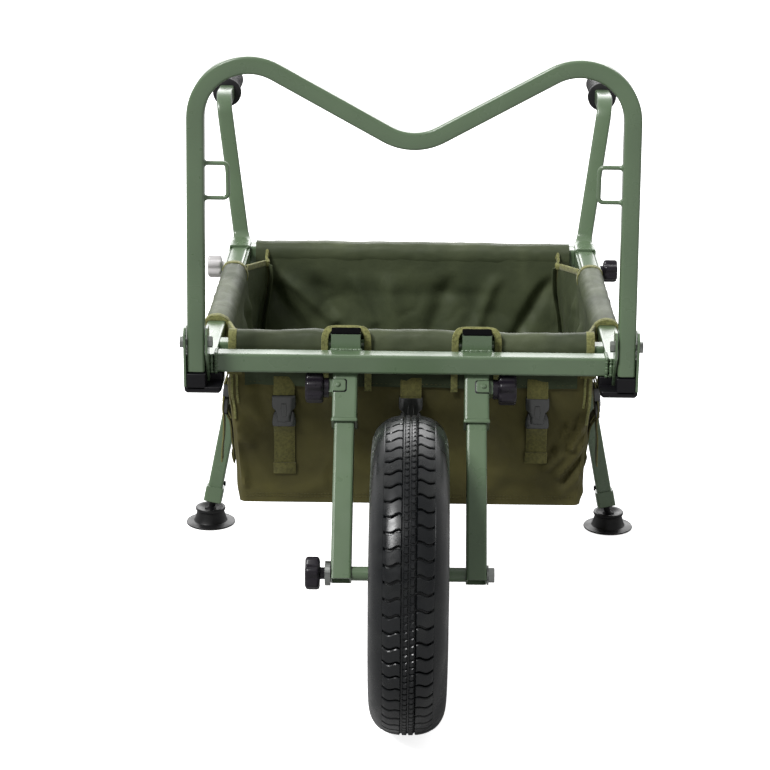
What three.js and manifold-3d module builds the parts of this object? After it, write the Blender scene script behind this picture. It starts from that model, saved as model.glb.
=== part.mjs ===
// A single-wheel fishing trolley: a square-tube barrow with a telescopic front fork, a fold-back
// M-shaped luggage bar, splayed rear legs on swivel feet, pull-out handles and an under-slung bag.
// Millimetres, +Z up. The wheel faces -Y. Every y in this file is counted from the wheel's axle, and
// the finished group is moved so that its origin lies on the ground under the middle of its box.
import * as THREE from 'three';
import { mergeVertices } from 'three/addons/utils/BufferGeometryUtils.js';
import Module from 'manifold-3d';

const wasm = await Module();
wasm.setup();

// Clearances and overruns that many pieces share
const seatGap = 0.3; // between a piece and what it is welded, bolted or sewn to
const slideGap = 0.5; // each side, between a sliding tube and its guide
const pinGap = 0.3; // all round, between a pin and its hole
const overrun = 2; // how far a cutting solid reaches past a face
const farOff = 1000; // reach of a cutting solid that clears everything
const weldTolerance = 1e-4; // points closer than this are one point

// Main frame
const frameInnerWidth = 502; // between the inner faces of the side rails
const railSize = 25;
const railWall = 2;
const tubeCorner = 3; // outside corner radius of every square tube
const leastBoreCorner = 0.5; // inside corner radius where the wall is as thick as the corner
const railHeight = 432; // middle of the rails above the ground
const railFrontY = 137;
const railRearY = 700;
const bagRailPitch = 51.5; // from the front crossbar back to the bag rail
const rearTubeY = 703;
const socketSize = 31.6;
const socketFrontY = 687;
const socketRearY = 718;
const channelWall = 3;
const channelFrontY = 583;
const channelRearY = 684;
const channelTopDrop = 1.5; // the channel's edges below the rail's top face

// Wheel
const wheelRadius = 200;
const tyreHalfWidth = 48.5;
const tyreMidRadius = 152; // where the tyre is widest
const tyreWall = 5.5;
const tyreSquarenessShare = 2.6; // power of the tyre's outline: 2 is an ellipse, more is squarer
const tyreArcSteps = 5; // steps from the tread's middle to the widest point
const linerArcSteps = 3; // the same inside the tyre
const wheelSteps = 32; // steps round the tyre
const wheelCoreSteps = 20; // steps round the parts inside the tyre
const treadThickness = 11;
const rimRadius = 101; // bead seat
const rimWidth = 62;
const rimFlange = 11;
const rimThickness = 2.5;
const rimDishShare = 1 / 4; // radius lost at the rim's middle, of its width
const rimWellShare = 1 / 5; // half width of the rim's well, of its width
const hubRadius = 21;
const hubLength = 74;
const bearingRadius = 16;
const bearingWidth = 10;
const axleRadius = 6;
const tubeSkin = 2; // wall of the inner tube
const tubePlay = 1.3; // between the inner tube and the tyre
const valveX = 17; // from the wheel's middle plane
const valveRadius = 4;
const valveLength = 30;

// Fork
const forkHalfTrack = 85; // middle of the wheel to the middle of a fork leg
const forkTube = 26;
const forkWall = 2;
const forkSleeve = 32;
const forkSleeveDrop = 75; // lower end of a sleeve below the middle of the rails, on its axis
const forkLegTopDrop = 26; // upper end of a fork leg below the middle of the rails, on its axis
const forkLegTail = 9.5; // fork leg below the axle
const forkHeadWidth = 38;
const forkHeadWall = 2.5;
const forkHeadRise = 20.5; // above the crossbar's top face
const forkBossSize = 18;
const forkBossDepth = 5;
const spacerRadius = 9;
const axleKnobRadius = 22;
const axleKnobLength = 18;
const axleNeckRadius = 7.5;
const axleNeckLength = 6;
const axleKnobBolt = 3.75; // radius of the knob's bolt and of its recess
const axleWasherRadius = 15.5;
const axleWasherLength = 7;
const axleNutRadius = 10;
const axleNutLength = 7;
const toothWasherRadius = 12.5;
const toothWasherLength = 2;
const toothWasherTeeth = 12;
const toothWasherNotch = 1.6;

// Knobs on the fork sleeves and at the rear corners
const forkKnobRadius = 21;
const forkKnobDrop = 35; // middle of a fork knob below the middle of the rails
const forkKnobLength = 23;
const forkKnobNeckRadius = 13;
const forkKnobNeckLength = 7;
const handleKnobRadius = 17;
const handleKnobLength = 20;
const knobNeckRadius = 8;
const knobNeckLength = 6;
const knobBoltRadius = 4;
const knobLobes = 6;
const knobLobeSteps = 5; // points along one lobe
const knobEdgeShare = 1 / 6; // rounded edge, of the knob's length
const knobLobeShare = 0.1; // depth of the hollows between the lobes, of the knob's radius
const handleKnobY = 620;

// M-shaped luggage bar
const barTube = 22;
const barWall = 2;
const barY = 122;
const barFootDrop = 4; // foot of the bar below the middle of the rails
const barFootOutset = 11; // middle of the bar outside the middle of a rail, at its foot
const barTopOutset = 4.5; // the same at its shoulder
const barValleyHeight = 728.6; // middle of the tube at the valley
const barSlopeDeg = 28.7;
const barShoulderBend = 67;
const barValleyBend = 70;
const barPivotRise = 33; // above the middle of the rails
const barBendSteps = 4;
const loopWire = 5.5;
const loopReach = 29;
const loopHeight = 44;
const loopMiddle = 675;
const loopCorner = 6;

// Brackets that hold the bar, and the moulded blocks under them
const bracketWall = 3;
const bracketFront = 14; // from the bar's middle forward to the edge of the plates
const bracketBevel = 7; // cut corners of the plates
const bracketDrop = 23; // lower edge below the middle of the rails
const bracketRise = 53; // upper edge above it
const bracketPlay = 1; // beside the bar
const blockDrop = 32; // underside below the middle of the rails
const blockInset = 9; // inner end of the block inside a rail's inner face
const blockRear = 166;
const blockStop = 2; // below the bar's foot, so that the foot can swing past
const pivotBoltRadius = 4;
const pivotHeadRadius = 7.5;
const pivotHeadLength = 5;

// Rear legs and feet
const legTube = 22.8;
const legWall = 2;
const legSocket = 29;
const legTopInset = 14; // the leg's top reference point inside a rail's inner face
const legTopY = 733;
const legTopDrop = 28; // the same point below the middle of the rails
const ankleOutset = 50.1; // the ankle outside the middle of a rail
const ankleY = 673;
const ankleHeight = 18;
const legSocketAbove = 5; // past the leg's top reference point, along the leg
const legSocketBelow = 58;
const legBottomGap = 18; // from the ball's middle to the tube's lower end
const collarSize = 28;
const collarLength = 24;
const ankleBall = 10;
const ballSteps = 5; // steps from pole to pole of the ball and its cup
const ankleStem = 5;
const anklePlug = 40;
const legPinRadius = 2.5;
const legPinHead = 4;
const legPlate = 3;
const legBracketEdge = 6; // bracket beside the leg socket
const footRadius = 38.5;
const footRim = 3;
const footRimRise = 1.5; // slope of the disc's upper face towards the cone
const footConeRadius = 26.5;
const footTopRadius = 21;
const footRingRadius = 23.5;
const footRingBottom = 22;
const footTop = 27;
const footMouth = 18;
const footLipShare = 0.5; // height of the cup's lip above the ball's middle, of the ball's radius
const footSteps = 20;

// Handles and grips
const handleTube = 23;
const spigotSize = 20;
const spigotBore = 15;
const spigotCorner = 1.5;
const spigotFrontY = 540;
const handleBendY = 744; // where the middle lines of base and riser cross
const handleBendRadius = 34;
const handleTopOutset = 32.5; // the grip's middle line outside the middle of a rail
const handleTopY = 812;
const handleTopRise = 215; // the grip's middle line above the middle of the rails
const handleTopRadius = 32;
const handleBendSteps = 5;
const gripFrontY = 876;
const gripRearY = 1000;
const gripRadius = 17;
const gripFlange = 22.5;
const gripFlangeWidth = 9;
const gripEndWall = 3;
const gripRound = 5.5; // rounded edge of the grip's end

// Bag
const bagDepth = 232.5; // from the rails' top face down
const bagBottomInset = 21; // the floor's edge inside a rail's inner face
const bagRearLean = 12.4; // the rear panel leans forward by so much at the floor
const bagNotchDepth = 39.5; // cut-away corners of the side panels
const cloth = 3; // coated cloth with its lining and stiffener
const floorThickness = 6;
const hemSkin = 1.5;
const hemEndGap = 11; // from an end of the front or rear hem to a rail
const sideHemFrontY = 288;
const sideHemRearY = 578;
const hemNotchMargin = 4; // cut-out of a hem beside a fork head or leg bracket
const hemNotchLap = 6; // what the front hem keeps in front of its tube's middle at a cut-out
const flapDrop = 36;
const flapEndGap = 4; // from the end of a hem to the end of its flap
const strapWidth = 30;
const strapThickness = 2;
const strapPitchShare = 0.73; // outer straps from the middle, of the bag's half width at the floor
const strapTopDrop = 63.5; // below the rails' top face
const strapBottomRise = 49; // above the bag's underside
const sideStrapYs = [262, 545];
const buckleWidth = 36;
const buckleHeight = 34;
const prongHeight = 26;
const buckleDepth = 9;

// Finishes, close to the colours that each piece shows
const finishes = {
  green: { color: 0x66755c, roughness: 0.45, metalness: 0.2 },
  zinc: { color: 0xb4b6b4, roughness: 0.35, metalness: 0.9 },
  black: { color: 0x262427, roughness: 0.55, metalness: 0 },
  rubber: { color: 0x35373a, roughness: 0.8, metalness: 0 },
  steel: { color: 0x8b8f8c, roughness: 0.45, metalness: 0.8 },
  lining: { color: 0x454933, roughness: 0.6, metalness: 0 },
  khaki: { color: 0x56542f, roughness: 0.8, metalness: 0 },
  webbing: { color: 0x4c4a2a, roughness: 0.9, metalness: 0 },
};
const materials = Object.fromEntries(
  Object.entries(finishes).map(([name, finish]) => [name, new THREE.MeshStandardMaterial(finish)]));

const sides = [{ name: 'left', sign: -1 }, { name: 'right', sign: 1 }];
const trolley = new THREE.Group();

// Geometry helpers

// A closed solid in the form that the boolean library takes.
function asManifold(geometry) {
  const bare = geometry.clone();
  bare.deleteAttribute('normal');
  bare.deleteAttribute('uv');
  const merged = mergeVertices(bare, weldTolerance);
  return new wasm.Manifold(new wasm.Mesh({
    numProp: 3,
    vertProperties: new Float32Array(merged.attributes.position.array),
    triVerts: new Uint32Array(merged.index.array),
  }));
}

// The boolean library's solid as a three.js geometry.
function asGeometry(manifold) {
  const mesh = manifold.getMesh();
  const geometry = new THREE.BufferGeometry();
  const points = new Float32Array(mesh.numVert * 3);
  for (let i = 0; i < mesh.numVert; i++) {
    for (let k = 0; k < 3; k++) points[3 * i + k] = mesh.vertProperties[mesh.numProp * i + k];
  }
  geometry.setAttribute('position', new THREE.BufferAttribute(points, 3));
  geometry.setIndex(new THREE.BufferAttribute(new Uint32Array(mesh.triVerts), 1));
  geometry.computeVertexNormals();
  return geometry;
}

function joined(...geometries) {
  return asGeometry(geometries.map(asManifold).reduce((sum, solid) => sum.add(solid)));
}

function cut(geometry, ...cutters) {
  const whole = asManifold(geometry);
  return asGeometry(cutters.map(asManifold).reduce((rest, tool) => rest.subtract(tool), whole));
}

// A box between two corners given as [x, y, z].
function boxBetween(low, high) {
  const size = low.map((value, i) => Math.abs(high[i] - value));
  const box = new THREE.BoxGeometry(...size);
  return box.translate(...low.map((value, i) => (value + high[i]) / 2));
}

// The same box on the left or right: x is mirrored by the side's sign.
function sideBox(sign, low, high) {
  return boxBetween([sign * low[0], low[1], low[2]], [sign * high[0], high[1], high[2]]);
}

// A cylinder along X between two x values.
function rodX(radius, x0, x1, y, z, steps = 16) {
  const rod = new THREE.CylinderGeometry(radius, radius, Math.abs(x1 - x0), steps);
  return rod.rotateZ(Math.PI / 2).translate((x0 + x1) / 2, y, z);
}

// The outline of a square tube with rounded corners, as flat points round its middle.
function squareOutline(size, corner, arcSteps = 2) {
  const half = size / 2 - corner;
  const points = [];
  [[1, 1], [-1, 1], [-1, -1], [1, -1]].forEach(([sx, sy], quarter) => {
    for (let i = 0; i <= arcSteps; i++) {
      const angle = (quarter + i / arcSteps) * Math.PI / 2;
      points.push([sx * half + corner * Math.cos(angle), sy * half + corner * Math.sin(angle)]);
    }
  });
  return points;
}

// Stations along straight runs joined by bends: each has a place, a direction and two section axes
// that are carried along without twist.
function bentPath(corners, radii, side, bendSteps = 6) {
  const stations = [];
  const points = corners.map((corner) => new THREE.Vector3(...corner));
  let heading = points[1].clone().sub(points[0]).normalize();
  let across = new THREE.Vector3(...side);
  across = across.addScaledVector(heading, -across.dot(heading)).normalize();
  const place = (point) => stations.push({
    point: point.clone(), heading: heading.clone(), across: across.clone(),
    up: heading.clone().cross(across).normalize(),
  });
  place(points[0]);
  for (let i = 1; i < points.length - 1; i++) {
    const next = points[i + 1].clone().sub(points[i]).normalize();
    const turn = heading.angleTo(next);
    const axis = heading.clone().cross(next).normalize();
    const start = points[i].clone().addScaledVector(heading, -radii[i - 1] * Math.tan(turn / 2));
    const centre = start.clone().addScaledVector(axis.clone().cross(heading), radii[i - 1]);
    const arm = start.clone().sub(centre);
    const [first, firstAcross] = [heading.clone(), across.clone()];
    for (let k = 0; k <= bendSteps; k++) {
      const angle = turn * k / bendSteps;
      heading = first.clone().applyAxisAngle(axis, angle);
      across = firstAcross.clone().applyAxisAngle(axis, angle);
      place(centre.clone().add(arm.clone().applyAxisAngle(axis, angle)));
    }
  }
  place(points[points.length - 1]);
  return stations;
}

function ringAt(station, outline) {
  return outline.map(([a, b]) => station.point.clone()
    .addScaledVector(station.across, a).addScaledVector(station.up, b));
}

// A closed skin over rings of points. Closed on itself the rings run out and back along a tube's
// bore; otherwise both ends get a flat cap.
function skinOver(rings, closed) {
  const count = rings[0].length;
  const positions = rings.flatMap((ring) => ring.flatMap((point) => [point.x, point.y, point.z]));
  const index = [];
  const joins = closed ? rings.length : rings.length - 1;
  for (let r = 0; r < joins; r++) {
    const [here, there] = [r * count, ((r + 1) % rings.length) * count];
    for (let i = 0; i < count; i++) {
      const j = (i + 1) % count;
      index.push(here + i, here + j, there + j, here + i, there + j, there + i);
    }
  }
  if (!closed) {
    const last = (rings.length - 1) * count;
    for (let i = 1; i < count - 1; i++) {
      index.push(0, i + 1, i);
      index.push(last, last + i, last + i + 1);
    }
  }
  const geometry = new THREE.BufferGeometry();
  geometry.setAttribute('position', new THREE.BufferAttribute(new Float32Array(positions), 3));
  geometry.setIndex(index);
  return facingOut(geometry);
}

// Turns a closed skin right side out.
function facingOut(geometry) {
  const [at, index] = [geometry.attributes.position, geometry.index.array];
  const [a, b, c] = [new THREE.Vector3(), new THREE.Vector3(), new THREE.Vector3()];
  let volume = 0;
  for (let i = 0; i < index.length; i += 3) {
    a.fromBufferAttribute(at, index[i]);
    b.fromBufferAttribute(at, index[i + 1]);
    c.fromBufferAttribute(at, index[i + 2]);
    volume += a.dot(b.cross(c));
  }
  if (volume < 0) {
    for (let i = 0; i < index.length; i += 3) [index[i], index[i + 1]] = [index[i + 1], index[i]];
  }
  geometry.computeVertexNormals();
  return geometry;
}

// A hollow square tube along stations.
function hollowTube(stations, size, wall, corner = tubeCorner) {
  const outer = squareOutline(size, corner);
  const inner = squareOutline(size - 2 * wall, Math.max(corner - wall, leastBoreCorner));
  return skinOver([...stations.map((s) => ringAt(s, outer)),
    ...[...stations].reverse().map((s) => ringAt(s, inner))], true);
}

// A straight square tube between two points; `side` is the direction of one of its flats.
function straightTube(from, to, size, wall, side) {
  return hollowTube(bentPath([from, to], [], side), size, wall);
}

function turned(profile, steps) {
  return new THREE.LatheGeometry(profile.map(([r, h]) => new THREE.Vector2(r, h)), steps);
}

function add(name, finish, geometry) {
  const mesh = new THREE.Mesh(geometry, materials[finish]);
  mesh.name = name;
  trolley.add(mesh);
  return mesh;
}

// Values worked out from the driving sizes
const railX = frameInnerWidth / 2 + railSize / 2;
const railInner = frameInnerWidth / 2;
const railTop = railHeight + railSize / 2;
const railBottom = railHeight - railSize / 2;
const crossbarY = railFrontY + railSize / 2;
const bagRailY = crossbarY + bagRailPitch;
const axleHeight = wheelRadius;
const forkHeadMiddleY = (crossbarY + bagRailY) / 2;
const forkTilt = Math.atan(forkHeadMiddleY / (railHeight - axleHeight));
const forkSleeveBottom = railHeight - forkSleeveDrop;
const forkLegTop = railHeight - forkLegTopDrop;
const hemOuter = railSize + 2 * (hemSkin + seatGap);
const hemHalfWidth = railInner - hemEndGap;
const [legTopX, ankleX] = [railInner - legTopInset, railX + ankleOutset];
const legTopHeight = railHeight - legTopDrop;
const legSplay = (ankleX - legTopX) / (legTopHeight - ankleHeight); // outward run per unit of height
const legBracketNear = legTopX - legSocket / 2 - legBracketEdge; // inner edge of a leg bracket
const beadHalfWidth = rimWidth / 2 - rimThickness - seatGap;
const barFoot = railHeight - barFootDrop;
const [barHalfWidthFoot, barHalfWidthTop] = [railX + barFootOutset, railX + barTopOutset];
const barPivotHeight = railHeight + barPivotRise;
const [bracketBottom, bracketTop] = [railHeight - bracketDrop, railHeight + bracketRise];
const barSlope = barSlopeDeg * Math.PI / 180;
const barValleyVertex = barValleyHeight - barValleyBend * (1 / Math.cos(barSlope) - 1);
const barShoulderHeight = barValleyVertex + barHalfWidthTop * Math.tan(barSlope);
const [handleTopX, handleTopHeight] = [railX + handleTopOutset, railHeight + handleTopRise];
const channelInner = railSize / 2 + seatGap; // half the width inside a channel that straddles the rail
const channelOuter = channelInner + channelWall;
const bagTopHalfWidth = railX - channelOuter - seatGap;
const bagBottomHalfWidth = railInner - bagBottomInset;
const bagFrontY = bagRailY + hemOuter / 2 + seatGap;
const bagRearTopY = rearTubeY - hemOuter / 2 - seatGap;
const bagRearBottomY = bagRearTopY - bagRearLean;
const bagBottom = railTop - bagDepth;
const bagNotchHeight = railTop - bagNotchDepth;
const [strapTop, strapBottom] = [railTop - strapTopDrop, bagBottom + strapBottomRise];

// A point on a fork leg's axis at a given height.
function forkPoint(sign, height) {
  return [sign * forkHalfTrack, (height - axleHeight) * Math.tan(forkTilt), height];
}

function makeRails() {
  for (const { name, sign } of sides) {
    add(`side_rail_${name}`, 'green', straightTube([sign * railX, railFrontY, railHeight],
      [sign * railX, railRearY, railHeight], railSize, railWall, [1, 0, 0]));
  }
  const reach = railInner - seatGap;
  const tubes = [['front_crossbar', crossbarY, reach], ['front_bag_rail', bagRailY, reach],
    ['rear_cross_tube', rearTubeY, railX - socketSize / 2 - seatGap]];
  for (const [name, y, half] of tubes) {
    add(name, 'green', straightTube([-half, y, railHeight], [half, y, railHeight], railSize, railWall,
      [0, 1, 0]));
  }
}

// Rear corners: a square socket over the rear end of each rail, and a U channel in front of it that
// straddles the rail and carries the handle's knob. The handle passes through both into the rail.
function makeRearCorners() {
  const [inner, outer] = [channelInner, channelOuter];
  const [low, high] = [railBottom - seatGap - channelWall, railTop - channelTopDrop];
  for (const { name, sign } of sides) {
    const x = sign * railX;
    const socket = straightTube([x, socketFrontY, railHeight], [x, socketRearY, railHeight],
      socketSize, socketSize / 2 - inner, [1, 0, 0]);
    const block = boxBetween([x - outer, channelFrontY, low], [x + outer, channelRearY, high]);
    const tongue = boxBetween([x - inner, channelRearY - overrun, low],
      [x + inner, socketFrontY + overrun, low + channelWall]);
    const room = boxBetween([x - inner, channelFrontY - overrun, low + channelWall],
      [x + inner, socketFrontY + overrun + seatGap, high + overrun]);
    const hole = rodX(knobBoltRadius + pinGap, x, sign * (railX + outer + overrun), handleKnobY, railHeight);
    add(`rear_corner_${name}`, 'green', joined(cut(joined(block, tongue), room, hole), socket));
  }
}

// The bolt of a handle knob passes through the channel and the rail's outer wall.
function drillRails() {
  for (const { name, sign } of sides) {
    const rail = trolley.getObjectByName(`side_rail_${name}`);
    const hole = rodX(knobBoltRadius + pinGap, sign * railX, sign * (railX + railSize), handleKnobY,
      railHeight);
    rail.geometry = cut(rail.geometry, hole);
  }
}

// A knob with rounded lobes, its neck and its bolt; it points away from the trolley along X.
function lobedKnob(radius, length, neckRadius, neckLength, boltRadius, boltLength) {
  const shape = new THREE.Shape();
  const steps = knobLobes * knobLobeSteps;
  for (let i = 0; i < steps; i++) {
    const angle = 2 * Math.PI * i / steps;
    const r = radius * (1 - knobLobeShare + knobLobeShare * Math.cos(knobLobes * angle));
    if (i === 0) shape.moveTo(r, 0);
    else shape.lineTo(r * Math.cos(angle), r * Math.sin(angle));
  }
  const bevel = length * knobEdgeShare;
  const head = new THREE.ExtrudeGeometry(shape, {
    depth: length - 2 * bevel, bevelEnabled: true, bevelThickness: bevel, bevelSize: bevel,
    bevelOffset: -bevel, bevelSegments: 1, curveSegments: 1,
  }).translate(0, 0, neckLength + bevel);
  const neck = new THREE.CylinderGeometry(neckRadius, neckRadius, neckLength + overrun, 16)
    .rotateX(Math.PI / 2).translate(0, 0, (neckLength + overrun) / 2);
  const bolt = new THREE.CylinderGeometry(boltRadius, boltRadius, boltLength + overrun, 12)
    .rotateX(Math.PI / 2).translate(0, 0, (overrun - boltLength) / 2);
  return joined(head, neck, bolt).rotateY(Math.PI / 2);
}

function knobAt(sign, x, y, z, geometry) {
  if (sign < 0) geometry.rotateZ(Math.PI);
  return geometry.translate(sign * x, y, z);
}

function makeHandleKnobs() {
  const face = railX + channelOuter + seatGap;
  const boltLength = face - railX - spigotSize / 2 - seatGap;
  for (const { name, sign } of sides) {
    const knob = lobedKnob(handleKnobRadius, handleKnobLength, knobNeckRadius, knobNeckLength, knobBoltRadius,
      boltLength);
    add(`handle_knob_${name}`, 'black', knobAt(sign, face, handleKnobY, railHeight, knob));
  }
}

// The handles: a spigot inside the rail, a swollen elbow, a riser that leans out and back, and a
// level stretch that carries the grip.
function makeHandles() {
  for (const { name, sign } of sides) {
    const start = [sign * railX, spigotFrontY, railHeight];
    const end = [sign * handleTopX, gripRearY - gripEndWall - seatGap, handleTopHeight];
    const stations = bentPath([start, [sign * railX, handleBendY, railHeight],
      [sign * handleTopX, handleTopY, handleTopHeight], end], [handleBendRadius, handleTopRadius], [1, 0, 0],
    handleBendSteps);
    const spigot = squareOutline(spigotSize, spigotCorner);
    const bore = squareOutline(spigotBore, spigotCorner);
    const neck = new THREE.Vector3(sign * railX, socketRearY + seatGap, railHeight);
    const shoulder = { ...stations[0], point: neck };
    const outer = [ringAt(stations[0], spigot), ringAt(shoulder, spigot)];
    const elbow = [shoulder, ...stations.slice(1)];
    elbow.forEach((station, i) => {
      const taper = Math.min(i / (handleBendSteps + 1), 1);
      const size = socketSize + (handleTube - socketSize) * taper;
      outer.push(ringAt(station, squareOutline(size, tubeCorner)));
    });
    const inner = [stations[0], ...elbow].reverse().map((station) => ringAt(station, bore));
    add(`handle_${name}`, 'green', skinOver([...outer, ...inner], true));
  }
}

function makeGrips() {
  const length = gripRearY - gripFrontY;
  const profile = [[0, 0], [gripFlange, 0], [gripFlange, gripFlangeWidth],
    [gripRadius, gripFlangeWidth + gripRound / 2], [gripRadius, length - gripRound],
    [gripRadius - gripRound, length], [0, length]];
  for (const { name, sign } of sides) {
    const body = turned(profile, 32).translate(sign * handleTopX, gripFrontY, handleTopHeight);
    const half = handleTube / 2 + seatGap;
    const bore = boxBetween([sign * handleTopX - half, gripFrontY - overrun, handleTopHeight - half],
      [sign * handleTopX + half, gripRearY - gripEndWall, handleTopHeight + half]);
    add(`grip_${name}`, 'rubber', cut(body, bore));
  }
}

// Short upright box tubes between the crossbar and the bag rail; the fork sleeves hang under them.
function makeForkHeads() {
  const [front, rear] = [crossbarY + railSize / 2 + seatGap, bagRailY - railSize / 2 - seatGap];
  const [low, high] = [railBottom, railTop + forkHeadRise];
  const half = forkHeadWidth / 2;
  const inside = half - forkHeadWall;
  for (const { name, sign } of sides) {
    const x = sign * forkHalfTrack;
    const shell = boxBetween([x - half, front, low], [x + half, rear, high]);
    const bore = boxBetween([x - inside, front + forkHeadWall, low - overrun],
      [x + inside, rear - forkHeadWall, high + overrun]);
    add(`fork_head_${name}`, 'green', cut(shell, bore));
  }
}

// The sleeves are square tubes that lean back to the fork heads and are cut level under them. Each
// has a threaded boss on its outer side for the clamp knob.
function makeForkSleeves() {
  const top = railBottom - seatGap;
  for (const { name, sign } of sides) {
    const wall = (forkSleeve - forkTube) / 2 - slideGap;
    const tube = straightTube(forkPoint(sign, forkSleeveBottom), forkPoint(sign, top + forkSleeve),
      forkSleeve, wall, [1, 0, 0]);
    const knob = forkKnobPlace(sign);
    const face = forkHalfTrack + forkSleeve / 2;
    const lap = wall / 2;
    const boss = new THREE.BoxGeometry(forkBossDepth + lap, forkBossSize, forkBossSize)
      .rotateX(-forkTilt).translate(sign * (face + (forkBossDepth - lap) / 2), knob.y, knob.z);
    const above = boxBetween([-farOff, -farOff, top], [farOff, farOff, farOff]);
    const hole = rodX(knobBoltRadius + pinGap, sign * (face - forkSleeve / 2),
      sign * (face + forkBossDepth + overrun), knob.y, knob.z);
    add(`fork_sleeve_${name}`, 'green', cut(joined(tube, boss), above, hole));
  }
}

function forkKnobPlace(sign) {
  const height = railHeight - forkKnobDrop;
  const [x, y, z] = forkPoint(sign, height);
  return new THREE.Vector3(x, y, z);
}

function makeForkKnobs() {
  for (const { name, sign } of sides) {
    const place = forkKnobPlace(sign);
    const face = forkHalfTrack + forkSleeve / 2 + forkBossDepth + seatGap;
    const boltLength = face - forkHalfTrack - forkTube / 2 - seatGap;
    const knob = lobedKnob(forkKnobRadius, forkKnobLength, forkKnobNeckRadius, forkKnobNeckLength,
      knobBoltRadius, boltLength);
    add(`fork_knob_${name}`, 'black', knobAt(sign, face, place.y, place.z, knob));
  }
}

// Fork legs with the axle's hole near the lower end.
function makeForkLegs() {
  for (const { name, sign } of sides) {
    const tail = forkPoint(sign, axleHeight - forkLegTail * Math.cos(forkTilt));
    const leg = straightTube(tail, forkPoint(sign, forkLegTop), forkTube, forkWall, [1, 0, 0]);
    const hole = rodX(axleRadius + pinGap, sign * (forkHalfTrack - forkTube),
      sign * (forkHalfTrack + forkTube), 0, axleHeight);
    add(`fork_leg_${name}`, 'green', cut(leg, hole));
  }
}

// The axle: a bolt through both legs, spacer tubes to the bearings, a nut with a toothed washer on
// the right and a neck, flange and lobed knob on the left.
function makeAxle() {
  const legFace = forkHalfTrack + forkTube / 2;
  const hubFace = hubLength / 2 + seatGap;
  for (const { name, sign } of sides) {
    const [near, far] = [sign * hubFace, sign * (forkHalfTrack - forkTube / 2 - seatGap)];
    const tube = rodX(spacerRadius, near, far, 0, axleHeight, 24);
    const bore = rodX(axleRadius + pinGap, near - sign * overrun, far + sign * overrun, 0, axleHeight, 24);
    add(`axle_spacer_${name}`, 'green', cut(tube, bore));
  }
  const left = -(legFace + seatGap + axleWasherLength + seatGap);
  const right = legFace + 2 * seatGap + toothWasherLength + axleNutLength;
  add('axle_bolt', 'zinc', rodX(axleRadius, left, right, 0, axleHeight, 24));
  const flange = rodX(axleWasherRadius, left + seatGap, -(legFace + seatGap), 0, axleHeight, 28);
  const flangeBore = rodX(axleRadius + pinGap, left - overrun, 0, 0, axleHeight, 24);
  add('axle_flange_washer', 'zinc', cut(flange, flangeBore));
  const nutBore = rodX(axleRadius + pinGap, 0, right + overrun, 0, axleHeight, 24);
  const toothed = toothedWasher().translate(legFace + seatGap, 0, axleHeight);
  add('axle_tooth_washer', 'zinc', cut(toothed, nutBore));
  const nutStart = legFace + 2 * seatGap + toothWasherLength;
  const nut = rodX(axleNutRadius, nutStart, nutStart + axleNutLength, 0, axleHeight, 6);
  add('axle_nut', 'zinc', cut(nut, nutBore));
  const knob = lobedKnob(axleKnobRadius, axleKnobLength, axleNeckRadius, axleNeckLength, axleKnobBolt, 0);
  const recess = rodX(axleKnobBolt + seatGap, left - overrun, left + overrun, 0, axleHeight);
  add('axle_knob', 'black', cut(knobAt(-1, -left + seatGap, 0, axleHeight, knob), recess));
}

function toothedWasher() {
  const shape = new THREE.Shape();
  for (let i = 0; i < 2 * toothWasherTeeth; i++) {
    const angle = Math.PI * i / toothWasherTeeth;
    const r = toothWasherRadius - (i % 2) * toothWasherNotch;
    if (i === 0) shape.moveTo(r, 0);
    else shape.lineTo(r * Math.cos(angle), r * Math.sin(angle));
  }
  const washer = new THREE.ExtrudeGeometry(shape, { depth: toothWasherLength, bevelEnabled: false });
  return washer.rotateY(Math.PI / 2);
}

// Half of a tyre section, from the middle of the tread down to the rim's flange, grown inwards by a
// wall and by the thickness of the crown.
function tyreSection(wall, crown, arcSteps) {
  const points = [];
  const wide = tyreHalfWidth - wall;
  for (let i = 0; i <= arcSteps; i++) {
    const angle = Math.PI / 2 * (1 - i / arcSteps);
    points.push([wide * Math.cos(angle) ** (2 / tyreSquarenessShare),
      tyreMidRadius + (wheelRadius - crown - tyreMidRadius) * Math.sin(angle) ** (2 / tyreSquarenessShare)]);
  }
  const [bead, low] = [beadHalfWidth - wall, rimRadius + rimFlange + seatGap + wall];
  for (let i = 1; i <= arcSteps; i++) {
    const angle = Math.PI / 2 * i / arcSteps;
    points.push([bead + (wide - bead) * Math.cos(angle),
      tyreMidRadius - (tyreMidRadius - low) * Math.sin(angle)]);
  }
  return points;
}

// A ring round the axle from half a section of [x, radius] points, mirrored and closed.
function wheelRing(half, steps) {
  const mirrored = half.slice(1, -1).reverse().map(([x, r]) => [-x, r]);
  return wheelTurned([...half, ...mirrored, half[0]], steps);
}

// A closed section of [x, radius] points turned round the axle.
function wheelTurned(section, steps = wheelCoreSteps) {
  const geometry = turned(section.map(([x, r]) => [r, x]), steps).rotateZ(-Math.PI / 2);
  geometry.deleteAttribute('normal');
  geometry.deleteAttribute('uv');
  return facingOut(mergeVertices(geometry, weldTolerance)).translate(0, 0, axleHeight);
}

function makeTyre() {
  const beadRadius = rimRadius + seatGap;
  const liner = tyreSection(tyreWall, treadThickness, linerArcSteps).reverse();
  add('tyre', 'rubber', wheelRing([...tyreSection(0, 0, tyreArcSteps), [beadHalfWidth, beadRadius],
    [beadHalfWidth - tyreWall, beadRadius], ...liner], wheelSteps));
}

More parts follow.
